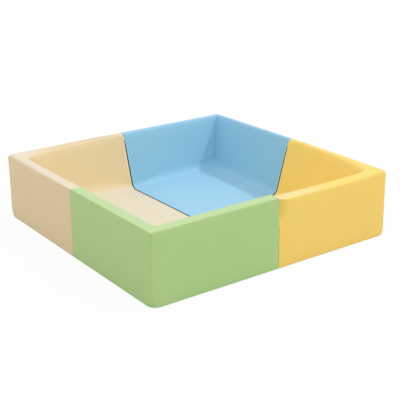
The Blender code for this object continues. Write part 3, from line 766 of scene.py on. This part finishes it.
def grouped(material, tree, shader, group, grain_depth, **values):
    """Place a group in a material and join it to the shader, its height through a bump."""
    made = add_node(tree, "ShaderNodeGroup", {"node_tree": group}, **values).outputs
    bump = add_node(tree, "ShaderNodeBump", Strength=BUMP_STRENGTH, Distance=grain_depth,
                    Height=made["Height"])
    fill(tree, shader, Base_Color=made["Colour"], Roughness=made["Roughness"], Normal=bump.outputs[0])
    return material


def leathercloth(colour):
    material, tree, shader = make_material(f"{colour}_coated_cloth")
    fill(tree, shader, Sheen_Weight=CLOTH_SHEEN, Sheen_Roughness=SHEEN_ROUGHNESS,
         Specular_IOR_Level=CLOTH_SPECULAR)
    return grouped(material, tree, shader, LEATHERCLOTH, GRAIN_DEPTH, Colour=(*COLOURS[colour], 1.0),
                   Faded_Colour=(*PAINTED_SHEEN_COLOURS[colour], 1.0), Roughness=CLOTH_ROUGHNESS)


CLOTHS = {colour: leathercloth(colour) for colour in MODULES}
print(len(CLOTHS), "cloths")

# %% [markdown]
# ## The covers
# A real cover is sewn from flat panels and pulled over the foam. Sewing flat panels together in a
# simulation is slow and hard to aim, so the skin is drawn as it ends up, and a Solidify modifier
# gives it the cloth's thickness without opening a seam.

# %% Covers
for colour in MODULES:
    name = f"{colour}_leathercloth_cover"
    skin = mesh_from_grids(name, colour, skin_grids(colour, movements[colour]))
    cover = new_object(name, skin, CLOTHS[colour])
    solid = cover.modifiers.new("cloth", "SOLIDIFY")
    solid.thickness = CLOTH
    solid.offset = -1.0
    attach(cover, f"{colour}_module")
    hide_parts(f"{colour}_cover")
    print(name, len(cover.data.polygons), "faces")

# %% [markdown]
# ## The foam inside
# Each cover holds two wall blocks, mitred at the corner, and a floor slab with a groove for the zip.
# Plain slabs would leave the cover hollow at its rounded edges, so the blocks follow the same sweep
# as the cover, set in by the cloth and a hair of air.

# %% Foam
FOAM = {"bottom": 3, "face": 15, "top": 2, "land": 2, "inner": 4, "cove": 6, "corner": 4, "leg": 28}
FOAM_INSET = CLOTH + 0.0008
MITRE = 0.0003
ZIP_START, ZIP_END, ZIP_ACROSS = 0.2331, 0.7556, 0.494358  # of the zip's slot, in the module's frame
GROOVE_HALF = 0.0095  # in the floor foam, over the zip
GROOVE_SIDE = 0.001
GROOVE_TOP = 0.0085
WALLS = {"green": ("left", "front"), "yellow": ("front", "right"),
         "blue": ("right", "back"), "beige": ("back", "left")}


def wall_block(colour, which, moved):
    """Grids and flat ends of one wall's foam."""
    grid, rows, columns = sweep(colour, FOAM, FOAM_INSET)
    if moved is not None:
        grid[..., :3] += moved.walls(rows, columns)
    heel = grid[-1].copy()
    heel[:, 2] = grid[1, 0, 2]
    skin = np.concatenate([grid[1:], heel[None]])
    middle = skin.shape[1] // 2
    skin = skin[:, middle:] if which else skin[:, :middle + 1]
    skin[:, 0 if which else -1, 0 if which else 1] += MITRE
    loop = np.concatenate([skin, skin[:1]])
    return [loop], [skin[:, 0], skin[:, -1]]


def floor_block(colour, moved):
    """Grids of the floor slab, closed all round."""
    grid, _, columns = sweep(colour, FOAM, FOAM_INSET)
    top = floor_grid(grid)
    if moved is not None:
        top[..., :3] += moved.floor(columns)
    bottom = top.copy()
    bottom[..., 2] = grid[1, 0, 2]
    bottom[-3:, :, 1] = top[-1:, :, 1]
    bottom[:, -3:, 0] = top[:, -1:, 0]
    middle = len(bottom) // 2
    low = np.argmin(abs(bottom[:, middle, 1] - ZIP_ACROSS)) - 1
    left, right = (np.argmin(abs(bottom[middle, :, 0] - end)) for end in (ZIP_START, ZIP_END))
    for step, shift in enumerate((-GROOVE_SIDE, 0.0)):
        bottom[low + step, :, 1] = ZIP_ACROSS - GROOVE_HALF + shift
        bottom[low + 3 - step, :, 1] = ZIP_ACROSS + GROOVE_HALF - shift
        bottom[:, left - 1 + step, 0] = ZIP_START - GROOVE_HALF + shift
        bottom[:, right + 1 - step, 0] = ZIP_END + GROOVE_HALF - shift
    bottom[low + 1:low + 3, left:right + 1, 2] = GROOVE_TOP
    sides = [np.stack([top[0], bottom[0]]), np.stack([top[-1], bottom[-1]]),
             np.stack([top[:, 0], bottom[:, 0]]), np.stack([top[:, -1], bottom[:, -1]])]
    return [top, bottom] + sides


FOAM_COLOUR = (0.82, 0.80, 0.74, 1.0)
FOAM_CELL = 0.0016
FOAM_DEPTH = 0.0004
CELL_WALL = (0.15, 0.55)  # of a cell's size, from its middle: where the pit ends and where the web is full
# painted shade in the cells' pits
PIT_SHADE = 0.72
PIT_ROUGHNESS, WEB_ROUGHNESS = 1.0, 0.9
FOAM_CLOUDS = 9.0  # per metre
FOAM_SHADES = (0.96, 1.04)


def foam_group():
    """Cut polyurethane foam: open cells with painted shade in their pits, and a paler web between them."""
    group, given = shader_group("foam_cells", {"Colour": FOAM_COLOUR, "Cell": FOAM_CELL})
    at = place(group)
    per_metre = math_node(group, "DIVIDE", 1.0, given["Cell"])
    cells = add_node(group, "ShaderNodeTexVoronoi", Vector=at, Scale=per_metre,
                     Randomness=0.9).outputs["Distance"]
    web = mapped(group, cells, *CELL_WALL, 0.0, 1.0)
    clouds = mapped(group, noise(group, at, FOAM_CLOUDS), *NOISE_REACH, *FOAM_SHADES)
    shade = math_node(group, "MULTIPLY", mapped(group, web, 0.0, 1.0, PIT_SHADE, 1.0), clouds)
    return put_out(group, scaled(group, given["Colour"], shade),
                   mapped(group, web, 0.0, 1.0, PIT_ROUGHNESS, WEB_ROUGHNESS), web)


foam_material = grouped(*make_material("cut_foam"), foam_group(), FOAM_DEPTH)
for colour in MODULES:
    blocks = {f"{side}_wall": wall_block(colour, which, movements[colour])
              for which, side in enumerate(WALLS[colour])}
    blocks["floor"] = (floor_block(colour, movements[colour]), ())
    for name, (grids, ends) in blocks.items():
        data = mesh_from_grids(f"{colour}_{name}_foam_block", colour, grids, ends)
        block = new_object(f"{colour}_{name}_foam_block", data, foam_material)
        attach(block, f"{colour}_module")
        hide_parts(f"{colour}_{name}_foam")
print("foam blocks:", 3 * len(MODULES))

# %% [markdown]
# ## Growing small things
# Hooks, loops, grip dots, zip teeth and stitches are one small shape each, repeated many times.
# A Geometry Nodes tree plants such a shape on points, which say by two attributes how it stands.
# The result is baked to a plain mesh, because the export drops instances.

# %% Planting tree


def planting_tree(name, make_shape, **sizes):
    """A tree that plants make_shape's shape, whose sizes are the tree's own inputs."""
    tree = bpy.data.node_groups.new(name, "GeometryNodeTree")
    kinds = {"Places": "Geometry", **dict.fromkeys(sizes, "Float"), "Random Turn": "Float", "Seed": "Int",
             "Material": "Material"}
    for socket, kind in kinds.items():
        made = tree.interface.new_socket(socket, in_out="INPUT", socket_type=f"NodeSocket{kind}")
        if socket in sizes:
            made.default_value = sizes[socket]
    tree.interface.new_socket("Geometry", in_out="OUTPUT", socket_type="NodeSocketGeometry")
    given = tree.nodes.new("NodeGroupInput").outputs
    vector = {"data_type": "FLOAT_VECTOR"}
    facing, along = (add_node(tree, "GeometryNodeInputNamedAttribute", vector, Name=key).outputs["Attribute"]
                     for key in ("facing", "along"))
    stand = add_node(tree, "FunctionNodeAxesToRotation", {"primary_axis": "Z", "secondary_axis": "X"},
                     _0=facing, _1=along)
    back = math_node(tree, "MULTIPLY", given["Random Turn"], -1.0)
    turn = add_node(tree, "FunctionNodeRandomValue", {"data_type": "FLOAT"}, _2=back,
                    _3=given["Random Turn"], Seed=given["Seed"])
    planted = add_node(tree, "GeometryNodeInstanceOnPoints", Points=given["Places"],
                       Instance=make_shape(tree, given), Rotation=stand.outputs[0])
    turned_about = add_node(tree, "ShaderNodeCombineXYZ", Z=turn.outputs[1])
    turned_round = add_node(tree, "GeometryNodeRotateInstances", Instances=planted.outputs[0],
                            Rotation=turned_about.outputs[0])
    real = add_node(tree, "GeometryNodeRealizeInstances", Geometry=turned_round.outputs[0])
    smooth = add_node(tree, "GeometryNodeSetShadeSmooth", Geometry=real.outputs[0])
    finished = add_node(tree, "GeometryNodeSetMaterial", Geometry=smooth.outputs[0],
                        Material=given["Material"])
    add_node(tree, "NodeGroupOutput", Geometry=finished.outputs[0])
    return tree


def round_thread(tree, curve, radius, sides):
    """A round thread along a curve, closed at both ends."""
    profile = add_node(tree, "GeometryNodeCurvePrimitiveCircle", {"mode": "RADIUS"}, Resolution=sides,
                       Radius=radius)
    return add_node(tree, "GeometryNodeCurveToMesh", Curve=curve.outputs[0],
                    Profile_Curve=profile.outputs[0], Fill_Caps=True)


def grow(tree, places, facing, along, material, **values):
    """The mesh of a tree's shape on each place, in the directions that each place gives."""
    data = bpy.data.meshes.new("places")
    data.from_pydata(np.asarray(places).tolist(), [], [])
    for key, directions in (("facing", facing), ("along", along)):
        layer = data.attributes.new(key, "FLOAT_VECTOR", "POINT")
        layer.data.foreach_set("vector", np.broadcast_to(directions, (len(places), 3)).ravel())
    piece = new_object("places", data)
    modifier = piece.modifiers.new("grow", "NODES")
    modifier.node_group = tree
    for item in tree.interface.items_tree:
        if item.in_out == "INPUT" and item.name in values:
            modifier[item.identifier] = values[item.name]
        if item.name == "Material":
            modifier[item.identifier] = material
    grown = bpy.data.meshes.new_from_object(piece.evaluated_get(bpy.context.evaluated_depsgraph_get()))
    bpy.data.objects.remove(piece)
    return grown


def joined(name, *parts):
    """One mesh of several."""
    mesh = bmesh.new()
    for part in parts:
        mesh.from_mesh(part)
    data = bpy.data.meshes.new(name)
    mesh.to_mesh(data)
    mesh.free()
    return data


# %% [markdown]
# ## Woven tapes and the non-slip cloth
# The strips, the zip's tapes and the base panel are woven. One group draws the plain weave: threads
# that pass over and under each other, from two directions that each material says for itself.

# %% Weave
GAP_ROUGHNESS = 0.95  # between the threads
DUST_PATCHES = 30.0  # per metre
DUST_REACH = (0.35, 0.75)  # of the noise, from clean to dusty
DUST_SHADES = (0.92, 1.12)


def weave_group():
    """A plain weave from a place along and a place across, both in metres."""
    group, given = shader_group(
        "plain_weave", {"Colour": (0.1, 0.1, 0.1, 1.0), "Roughness": 0.85, "Thread": 0.0008,
                        "Along": 0.0, "Across": 0.0, "Depth of Shade": 0.45})
    turn = math_node(group, "DIVIDE", math.pi, given["Thread"])
    along = math_node(group, "SINE", math_node(group, "MULTIPLY", given["Along"], turn))
    across = math_node(group, "SINE", math_node(group, "MULTIPLY", given["Across"], turn))
    over = math_node(group, "MULTIPLY", along, across)
    height = mapped(group, over, -1.0, 1.0, 0.0, 1.0)
    # Painted shade where the threads dip under each other, as deep as Depth of Shade
    shade = math_node(group, "MULTIPLY_ADD", height, given["Depth of Shade"],
                      math_node(group, "SUBTRACT", 1.0, given["Depth of Shade"]))
    dusty = mapped(group, noise(group, place(group), DUST_PATCHES, 3.0), *DUST_REACH, *DUST_SHADES)
    shade = math_node(group, "MULTIPLY", shade, dusty)
    return put_out(group, scaled(group, given["Colour"], shade),
                   mapped(group, height, 0.0, 1.0, GAP_ROUGHNESS, given["Roughness"]), height)


WEAVE = weave_group()


def woven(name, colour, thread, roughness, upright=False):
    """A woven material whose threads run along x and y, or round the pen and upwards."""
    material, tree, shader = make_material(name)
    axes = add_node(tree, "ShaderNodeSeparateXYZ", Vector=place(tree)).outputs
    along = math_node(tree, "ADD", axes["X"], axes["Y"]) if upright else axes["X"]
    return grouped(material, tree, shader, WEAVE, thread / 4, Colour=colour, Roughness=roughness,
                   Thread=thread, Along=along, Across=axes["Z"] if upright else axes["Y"])


print("shader group:", WEAVE.name)

# %% [markdown]
# ## Hook-and-loop strips
# Black strips hold the modules together: loops on one end face and hooks on the next. They lie just
# behind the lips of the covers, so a thin black line shows at each inner joint. Each strip is a woven
# tape that follows the wall's section, with its hooks or loops planted in rows.

# %% Strips
STRIP_DEPTH = 0.0009  # below the inner face and the floor
STRIP_WIDTH = 0.030
STRIP_FAR = 0.0038  # from the joint plane to the tape's back
TAPE_FACE = 0.0014  # from the joint plane to the tape's face
STRIP_PARTING = 0.001  # between the wall's strip and the floor's
FLOOR_STRIP_END_MARGIN = 0.0179
STRIP_STEP = 0.006
PILE_STEP = 0.0034
HOOK_RADIUS = 0.00045
HOOK_THREAD = 0.00013
HOOK_LIFT = 0.0003  # of an arc's middle, from the tape
ARC_START = -0.6  # radians, where a hook or a loop leaves the tape
STRIP_KINDS = {"loop": (4.4, 3.14), "hook": (3.3, 0.15)}  # how far an arc goes round, and its random turn


def arc_shape(tree, given):
    """A thread bent to an arc, standing on its first end."""
    arc = add_node(tree, "GeometryNodeCurveArc", {"mode": "RADIUS"}, Resolution=6, Radius=given["Radius"],
                   Start_Angle=ARC_START, Sweep_Angle=given["Sweep"])
    thread = round_thread(tree, arc, given["Thread"], 3)
    lift = add_node(tree, "ShaderNodeCombineXYZ", Z=given["Lift"])
    return add_node(tree, "GeometryNodeTransform", Geometry=thread.outputs[0], Translation=lift.outputs[0],
                    Rotation=(math.pi / 2, 0.0, 0.0)).outputs[0]


pile_tree = planting_tree("pile", arc_shape, Radius=HOOK_RADIUS, Sweep=STRIP_KINDS["loop"][0],
                          Thread=HOOK_THREAD, Lift=HOOK_LIFT)


def strip_places(shape, part, step_along, step_across):
    """Places (inwards, up) over a strip, as a grid: down along the wall or out along the floor."""
    rows = section(*shape, FINE)
    rows = rows[rows[:, 4] >= 7.0 - 1e-6]
    end = np.array([[MODULE_LENGTH - FLOOR_STRIP_END_MARGIN, PAD_HEIGHT, 0.0, 1.0, 9.0]])
    path = np.concatenate([rows, end])
    length = np.concatenate([[0.0], np.cumsum(np.linalg.norm(np.diff(path[:, :2], axis=0), axis=1))])
    middle = np.interp(8.5, path[:, 4], length)
    if part == "wall":
        top = np.interp(STRIP_TOP_MARGIN - WALL_HEIGHT, -path[:, 1], length)
        reach = (top, middle - STRIP_PARTING / 2)
    else:
        reach = (middle + STRIP_PARTING / 2, length[-1])
    along = np.linspace(*reach, max(2, round((reach[1] - reach[0]) / step_along)))
    across = np.linspace(0.0, STRIP_WIDTH, max(2, round(STRIP_WIDTH / step_across)))
    if step_across < STRIP_WIDTH / 2:
        along, across = (along[1:] + along[:-1]) / 2, (across[1:] + across[:-1]) / 2
    at = [np.interp(along, length, path[:, column]) for column in range(4)]
    return np.stack([at[0][:, None] - (STRIP_DEPTH + across) * at[2][:, None],
                     at[1][:, None] - (STRIP_DEPTH + across) * at[3][:, None]], -1)


def on_end_face(places, which, distance):
    """Grid points at a distance from the joint plane, in the module's frame."""
    plane = np.full(places.shape[:-1], MODULE_LENGTH - distance)
    u, v = (plane, places[..., 0]) if which else (places[..., 0], plane)
    return np.stack([u, v, places[..., 1], np.zeros_like(plane)], -1)


def tape_grids(front, back):
    """The six sides of a tape between two grids."""
    edges = [np.stack([front[part], back[part]]) for part in (0, -1)]
    edges += [np.stack([front[:, part], back[:, part]]) for part in (0, -1)]
    return [front, back] + edges


strip_material = woven("hook_and_loop_tape", (0.012, 0.011, 0.011, 1.0), thread=0.0008, roughness=0.85,
                       upright=True)
for colour in MODULES:
    for which, (kind, (arc_sweep, random_turn)) in enumerate(STRIP_KINDS.items()):
        shape = SHAPES[colour]["second" if which else "first"]
        for part in ("wall", "floor"):
            outline = strip_places(shape, part, STRIP_STEP, STRIP_WIDTH)
            tape = mesh_from_grids("tape", colour, tape_grids(on_end_face(outline, which, TAPE_FACE),
                                                              on_end_face(outline, which, STRIP_FAR)))
            grid = on_end_face(strip_places(shape, part, PILE_STEP, PILE_STEP), which, TAPE_FACE)
            facing = turned(np.array([MODULE_LENGTH + which, MODULE_LENGTH + 1 - which, 0.0]), colour)
            pile = grow(pile_tree, turned(grid, colour).reshape(-1, 3), facing, (0.0, 0.0, 1.0),
                        strip_material, Sweep=arc_sweep, **{"Random Turn": random_turn}, Seed=which)
            name = f"{colour}_{part}_{kind}_tape"
            strip = new_object(name, joined(name, tape, pile), strip_material)
            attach(strip, f"{colour}_module")
            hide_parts(f"{colour}_{part}_{kind}_strip")
            print(name, len(strip.data.polygons), "faces")

# %% [markdown]
# ## The underside
# A panel of dark non-slip cloth closes each cover underneath. Rubber dots are printed on it in
# staggered rows, and two rows of stitches sew it to the cover's hem and round the zip's slot.

# %% Base panels
PANEL_NEAR = 0.024  # from the module's outer faces to the panel's edge
PANEL_FAR = 0.7971
SEAM_ROWS = (0.004, 0.009)  # from the panel's edge
STITCH_STEP = 0.006
DOT_STEP = 0.016
DOT_MARGIN = 0.018
DOT_RADIUS = 0.0019
DOT_HEIGHT = 0.0005
DOT_TOP_SHARE = 0.7  # of a dot's radius, left flat on top
SLOT_HALF = 0.007
SLOT_MARGIN = 0.01  # from the slot's ends to the nearest dots
ZIP_SEAM = 0.0025  # from the slot's edge
DOWN = (0.0, 0.0, -1.0)
STITCH_BOW = 0.6  # how far out along its half a stitch has risen


def stitch_shape(tree, given):
    """A short bowed thread that dips into the cloth at both ends."""
    line = add_node(tree, "GeometryNodeCurvePrimitiveBezierSegment", Resolution=4, Start=(-1.0, 0.0, 0.0),
                    Start_Handle=(-STITCH_BOW, 0.0, 1.0), End_Handle=(STITCH_BOW, 0.0, 1.0),
                    End=(1.0, 0.0, 0.0))
    half = given["Half Length"]
    size = add_node(tree, "ShaderNodeCombineXYZ", X=half, Y=half, Z=given["Rise"])
    bowed = add_node(tree, "GeometryNodeTransform", Geometry=line.outputs[0], Scale=size.outputs[0])
    return round_thread(tree, bowed, given["Thread"], 4).outputs[0]


def dot_shape(tree, given):
    """A low rubber dot with a sloping edge."""
    top = math_node(tree, "MULTIPLY", given["Radius"], DOT_TOP_SHARE)
    return add_node(tree, "GeometryNodeMeshCone", Vertices=10, Side_Segments=1, Radius_Top=top,
                    Radius_Bottom=given["Radius"], Depth=given["Height"]).outputs[0]


stitch_tree = planting_tree("stitches", stitch_shape,
                            **{"Half Length": 0.0022, "Rise": 0.0004, "Thread": 0.0003})
dot_tree = planting_tree("grip_dots", dot_shape, Radius=DOT_RADIUS, Height=DOT_HEIGHT)


def stitch_line(start, end):
    """Places and directions of the stitches from one point to another, in the module's frame."""
    start, reach = np.array(start), np.array(end) - np.array(start)
    length = np.linalg.norm(reach)
    count = max(1, round(length / STITCH_STEP))
    shares = ((np.arange(count) + 0.5) / count)[:, None]
    return start + reach * shares, np.repeat([reach / length], count, 0)


def panel_stitches():
    """All the stitches of a base panel, round its edge and its slot, in the module's frame."""
    side = SLOT_HALF + ZIP_SEAM
    boxes = [(PANEL_NEAR + row, PANEL_NEAR + row, PANEL_FAR - row, PANEL_FAR - row) for row in SEAM_ROWS]
    boxes.append((ZIP_START - ZIP_SEAM, ZIP_ACROSS - side, ZIP_END + ZIP_SEAM, ZIP_ACROSS + side))
    lines = []
    for low_u, low_v, high_u, high_v in boxes:
        corners = [(low_u, low_v), (high_u, low_v), (high_u, high_v), (low_u, high_v)]
        lines += [stitch_line(one, other) for one, other in zip(corners, corners[1:] + corners[:1])]
    return [np.concatenate(part) for part in zip(*lines)]


def dot_places():
    """Staggered dots over the panel, clear of its seams and of the zip."""
    near, far = PANEL_NEAR + DOT_MARGIN, PANEL_FAR - DOT_MARGIN
    places = []
    for index, row in enumerate(np.arange(near, far, DOT_STEP * math.sqrt(0.75))):
        line = np.arange(near + DOT_STEP / 2 * (index % 2), far, DOT_STEP)
        near_zip = abs(row - ZIP_ACROSS) < SLOT_HALF + 2.5 * ZIP_SEAM
        places += [(u, row) for u in line
                   if not near_zip or not ZIP_START - SLOT_MARGIN < u < ZIP_END + SLOT_MARGIN]
    return np.array(places)


def under(flat, height=0.0):
    """Points of the module's plan at a height, in its frame."""
    return np.concatenate([flat, np.full((len(flat), 1), height)], 1)


def direction(flat, colour):
    """Directions in the module's plan, in the pen's frame."""
    return turned(under(flat) + (MODULE_LENGTH, MODULE_LENGTH, 0.0), colour)


def plain_finish(name, colour, grain_depth, **values):
    """A material of the coated cloth's group in one even colour, for rubber and nylon."""
    return grouped(*make_material(name), LEATHERCLOTH, grain_depth, Colour=(*colour, 1.0),
                   Faded_Colour=(*colour, 1.0), **values)


base_material = woven("non_slip_cloth_weave", (0.090, 0.090, 0.095, 1.0), thread=0.0013, roughness=0.8)
thread_material = woven("sewing_thread", (0.20, 0.20, 0.21, 1.0), thread=0.0004, roughness=0.6)
rubber_material = plain_finish("rubber_dots", (0.035, 0.035, 0.037), grain_depth=0.00005,
                               Roughness=0.6, Grain_Size=0.0005, Mottling=0.12)
for colour in MODULES:
    bpy.data.objects[f"{colour}_base_panel"].material_slots[0].material = base_material
    places, along = panel_stitches()
    pieces = {"stitching": grow(stitch_tree, turned(under(places), colour), DOWN, direction(along, colour),
                                thread_material),
              "grip_dots": grow(dot_tree, turned(under(dot_places()), colour), DOWN, (1.0, 0.0, 0.0),
                                rubber_material)}
    for name, data in pieces.items():
        data.name = f"{colour}_{name}"
        piece = new_object(f"{colour}_{name}", data)
        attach(piece, f"{colour}_module")
        print(piece.name, len(data.polygons), "faces")

# %% [markdown]
# ## Zips
# The cover comes off for washing through a zip underneath. Its tapes, slider and pull keep the
# frame's shapes, with woven and brushed finishes. The coil's turns are planted along the tapes' edges.

# %% Zips
COIL_STEP = 0.0019
COIL_PLACE = 0.002  # of each coil's middle, from the zip's middle
COIL_TOP = 0.0044
COIL_RADIUS = 0.0011
COIL_THREAD = 0.00032
COIL_START, COIL_SWEEP = -0.5, 4.1  # radians, round from the tape
ZIP_REACH = 0.008  # of the coils past the slot's ends
METAL_ROUGHNESS = 0.32
SCRATCH_DEPTH = 0.00003
SCRATCH_STRETCH = (1.0, 12.0, 4.0)  # of the noise along x, y and z, which makes the scratches long in x
SCRATCH_SHADES = (0.9, 1.06)
TOUCHED_PATCHES = 220.0  # per metre
TOUCHED_REACH = (0.4, 0.7)  # of the noise, from bright to dull
TOUCHED_DULL = 0.18  # of roughness


def metal_group():
    """Brushed zinc: fine scratches one way, and duller patches where fingers reach."""
    group, given = shader_group("brushed_metal", {"Colour": (0.56, 0.56, 0.57, 1.0),
                                                  "Roughness": METAL_ROUGHNESS, "Scratch": 0.0001})
    at = place(group)
    stretched = add_node(group, "ShaderNodeVectorMath", {"operation": "MULTIPLY"}, _0=at,
                         _1=SCRATCH_STRETCH)
    scratches = noise(group, stretched.outputs[0], math_node(group, "DIVIDE", 0.1, given["Scratch"]), 3.0)
    dull = mapped(group, noise(group, at, TOUCHED_PATCHES), *TOUCHED_REACH, 0.0, TOUCHED_DULL)
    shade = mapped(group, scratches, *NOISE_REACH, *SCRATCH_SHADES)
    return put_out(group, scaled(group, given["Colour"], shade),
                   math_node(group, "ADD", given["Roughness"], dull), scratches)


def coil_shape(tree, given):
    """One turn of the zip's coil, lying over the tape's edge."""
    turn = add_node(tree, "GeometryNodeCurveArc", {"mode": "RADIUS"}, Resolution=6, Radius=given["Radius"],
                    Start_Angle=COIL_START, Sweep_Angle=COIL_SWEEP)
    return round_thread(tree, turn, given["Thread"], 4).outputs[0]


coil_tree = planting_tree("zip_coil", coil_shape, Radius=COIL_RADIUS, Thread=COIL_THREAD)
material, tree, shader = make_material("brushed_zinc")
fill(tree, shader, Metallic=1.0)
metal_material = grouped(material, tree, shader, metal_group(), SCRATCH_DEPTH, Roughness=METAL_ROUGHNESS)
zip_material = woven("zip_tape_weave", (0.030, 0.030, 0.032, 1.0), thread=0.0005, roughness=0.85)
coil_material = plain_finish("zip_coil_nylon", (0.022, 0.022, 0.024), grain_depth=0.00002,
                             Roughness=0.38, Grain_Size=0.0004, Mottling=0.15)
for colour in MODULES:
    for node, finish in (("outer_zip_tape", zip_material), ("inner_zip_tape", zip_material),
                         ("zip_slider", metal_material), ("zip_pull", metal_material)):
        bpy.data.objects[f"{colour}_{node}"].material_slots[0].material = finish
    count = round((ZIP_END - ZIP_START + 2 * ZIP_REACH) / COIL_STEP)
    along = np.linspace(ZIP_START - ZIP_REACH, ZIP_END + ZIP_REACH, count)
    sides = [np.stack([along + side * COIL_STEP / 4, np.full(count, ZIP_ACROSS + side * COIL_PLACE)], 1)
             for side in (-1, 1)]
    places = under(np.concatenate(sides), COIL_TOP)
    coil = grow(coil_tree, turned(places, colour), direction(np.array([[1.0, 0.0]]), colour),
                direction(np.array([[0.0, 1.0]]), colour), coil_material)
    coil.name = f"{colour}_zip_coil"
    piece = new_object(coil.name, coil)
    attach(piece, f"{colour}_module")
print("zips:", len(MODULES))
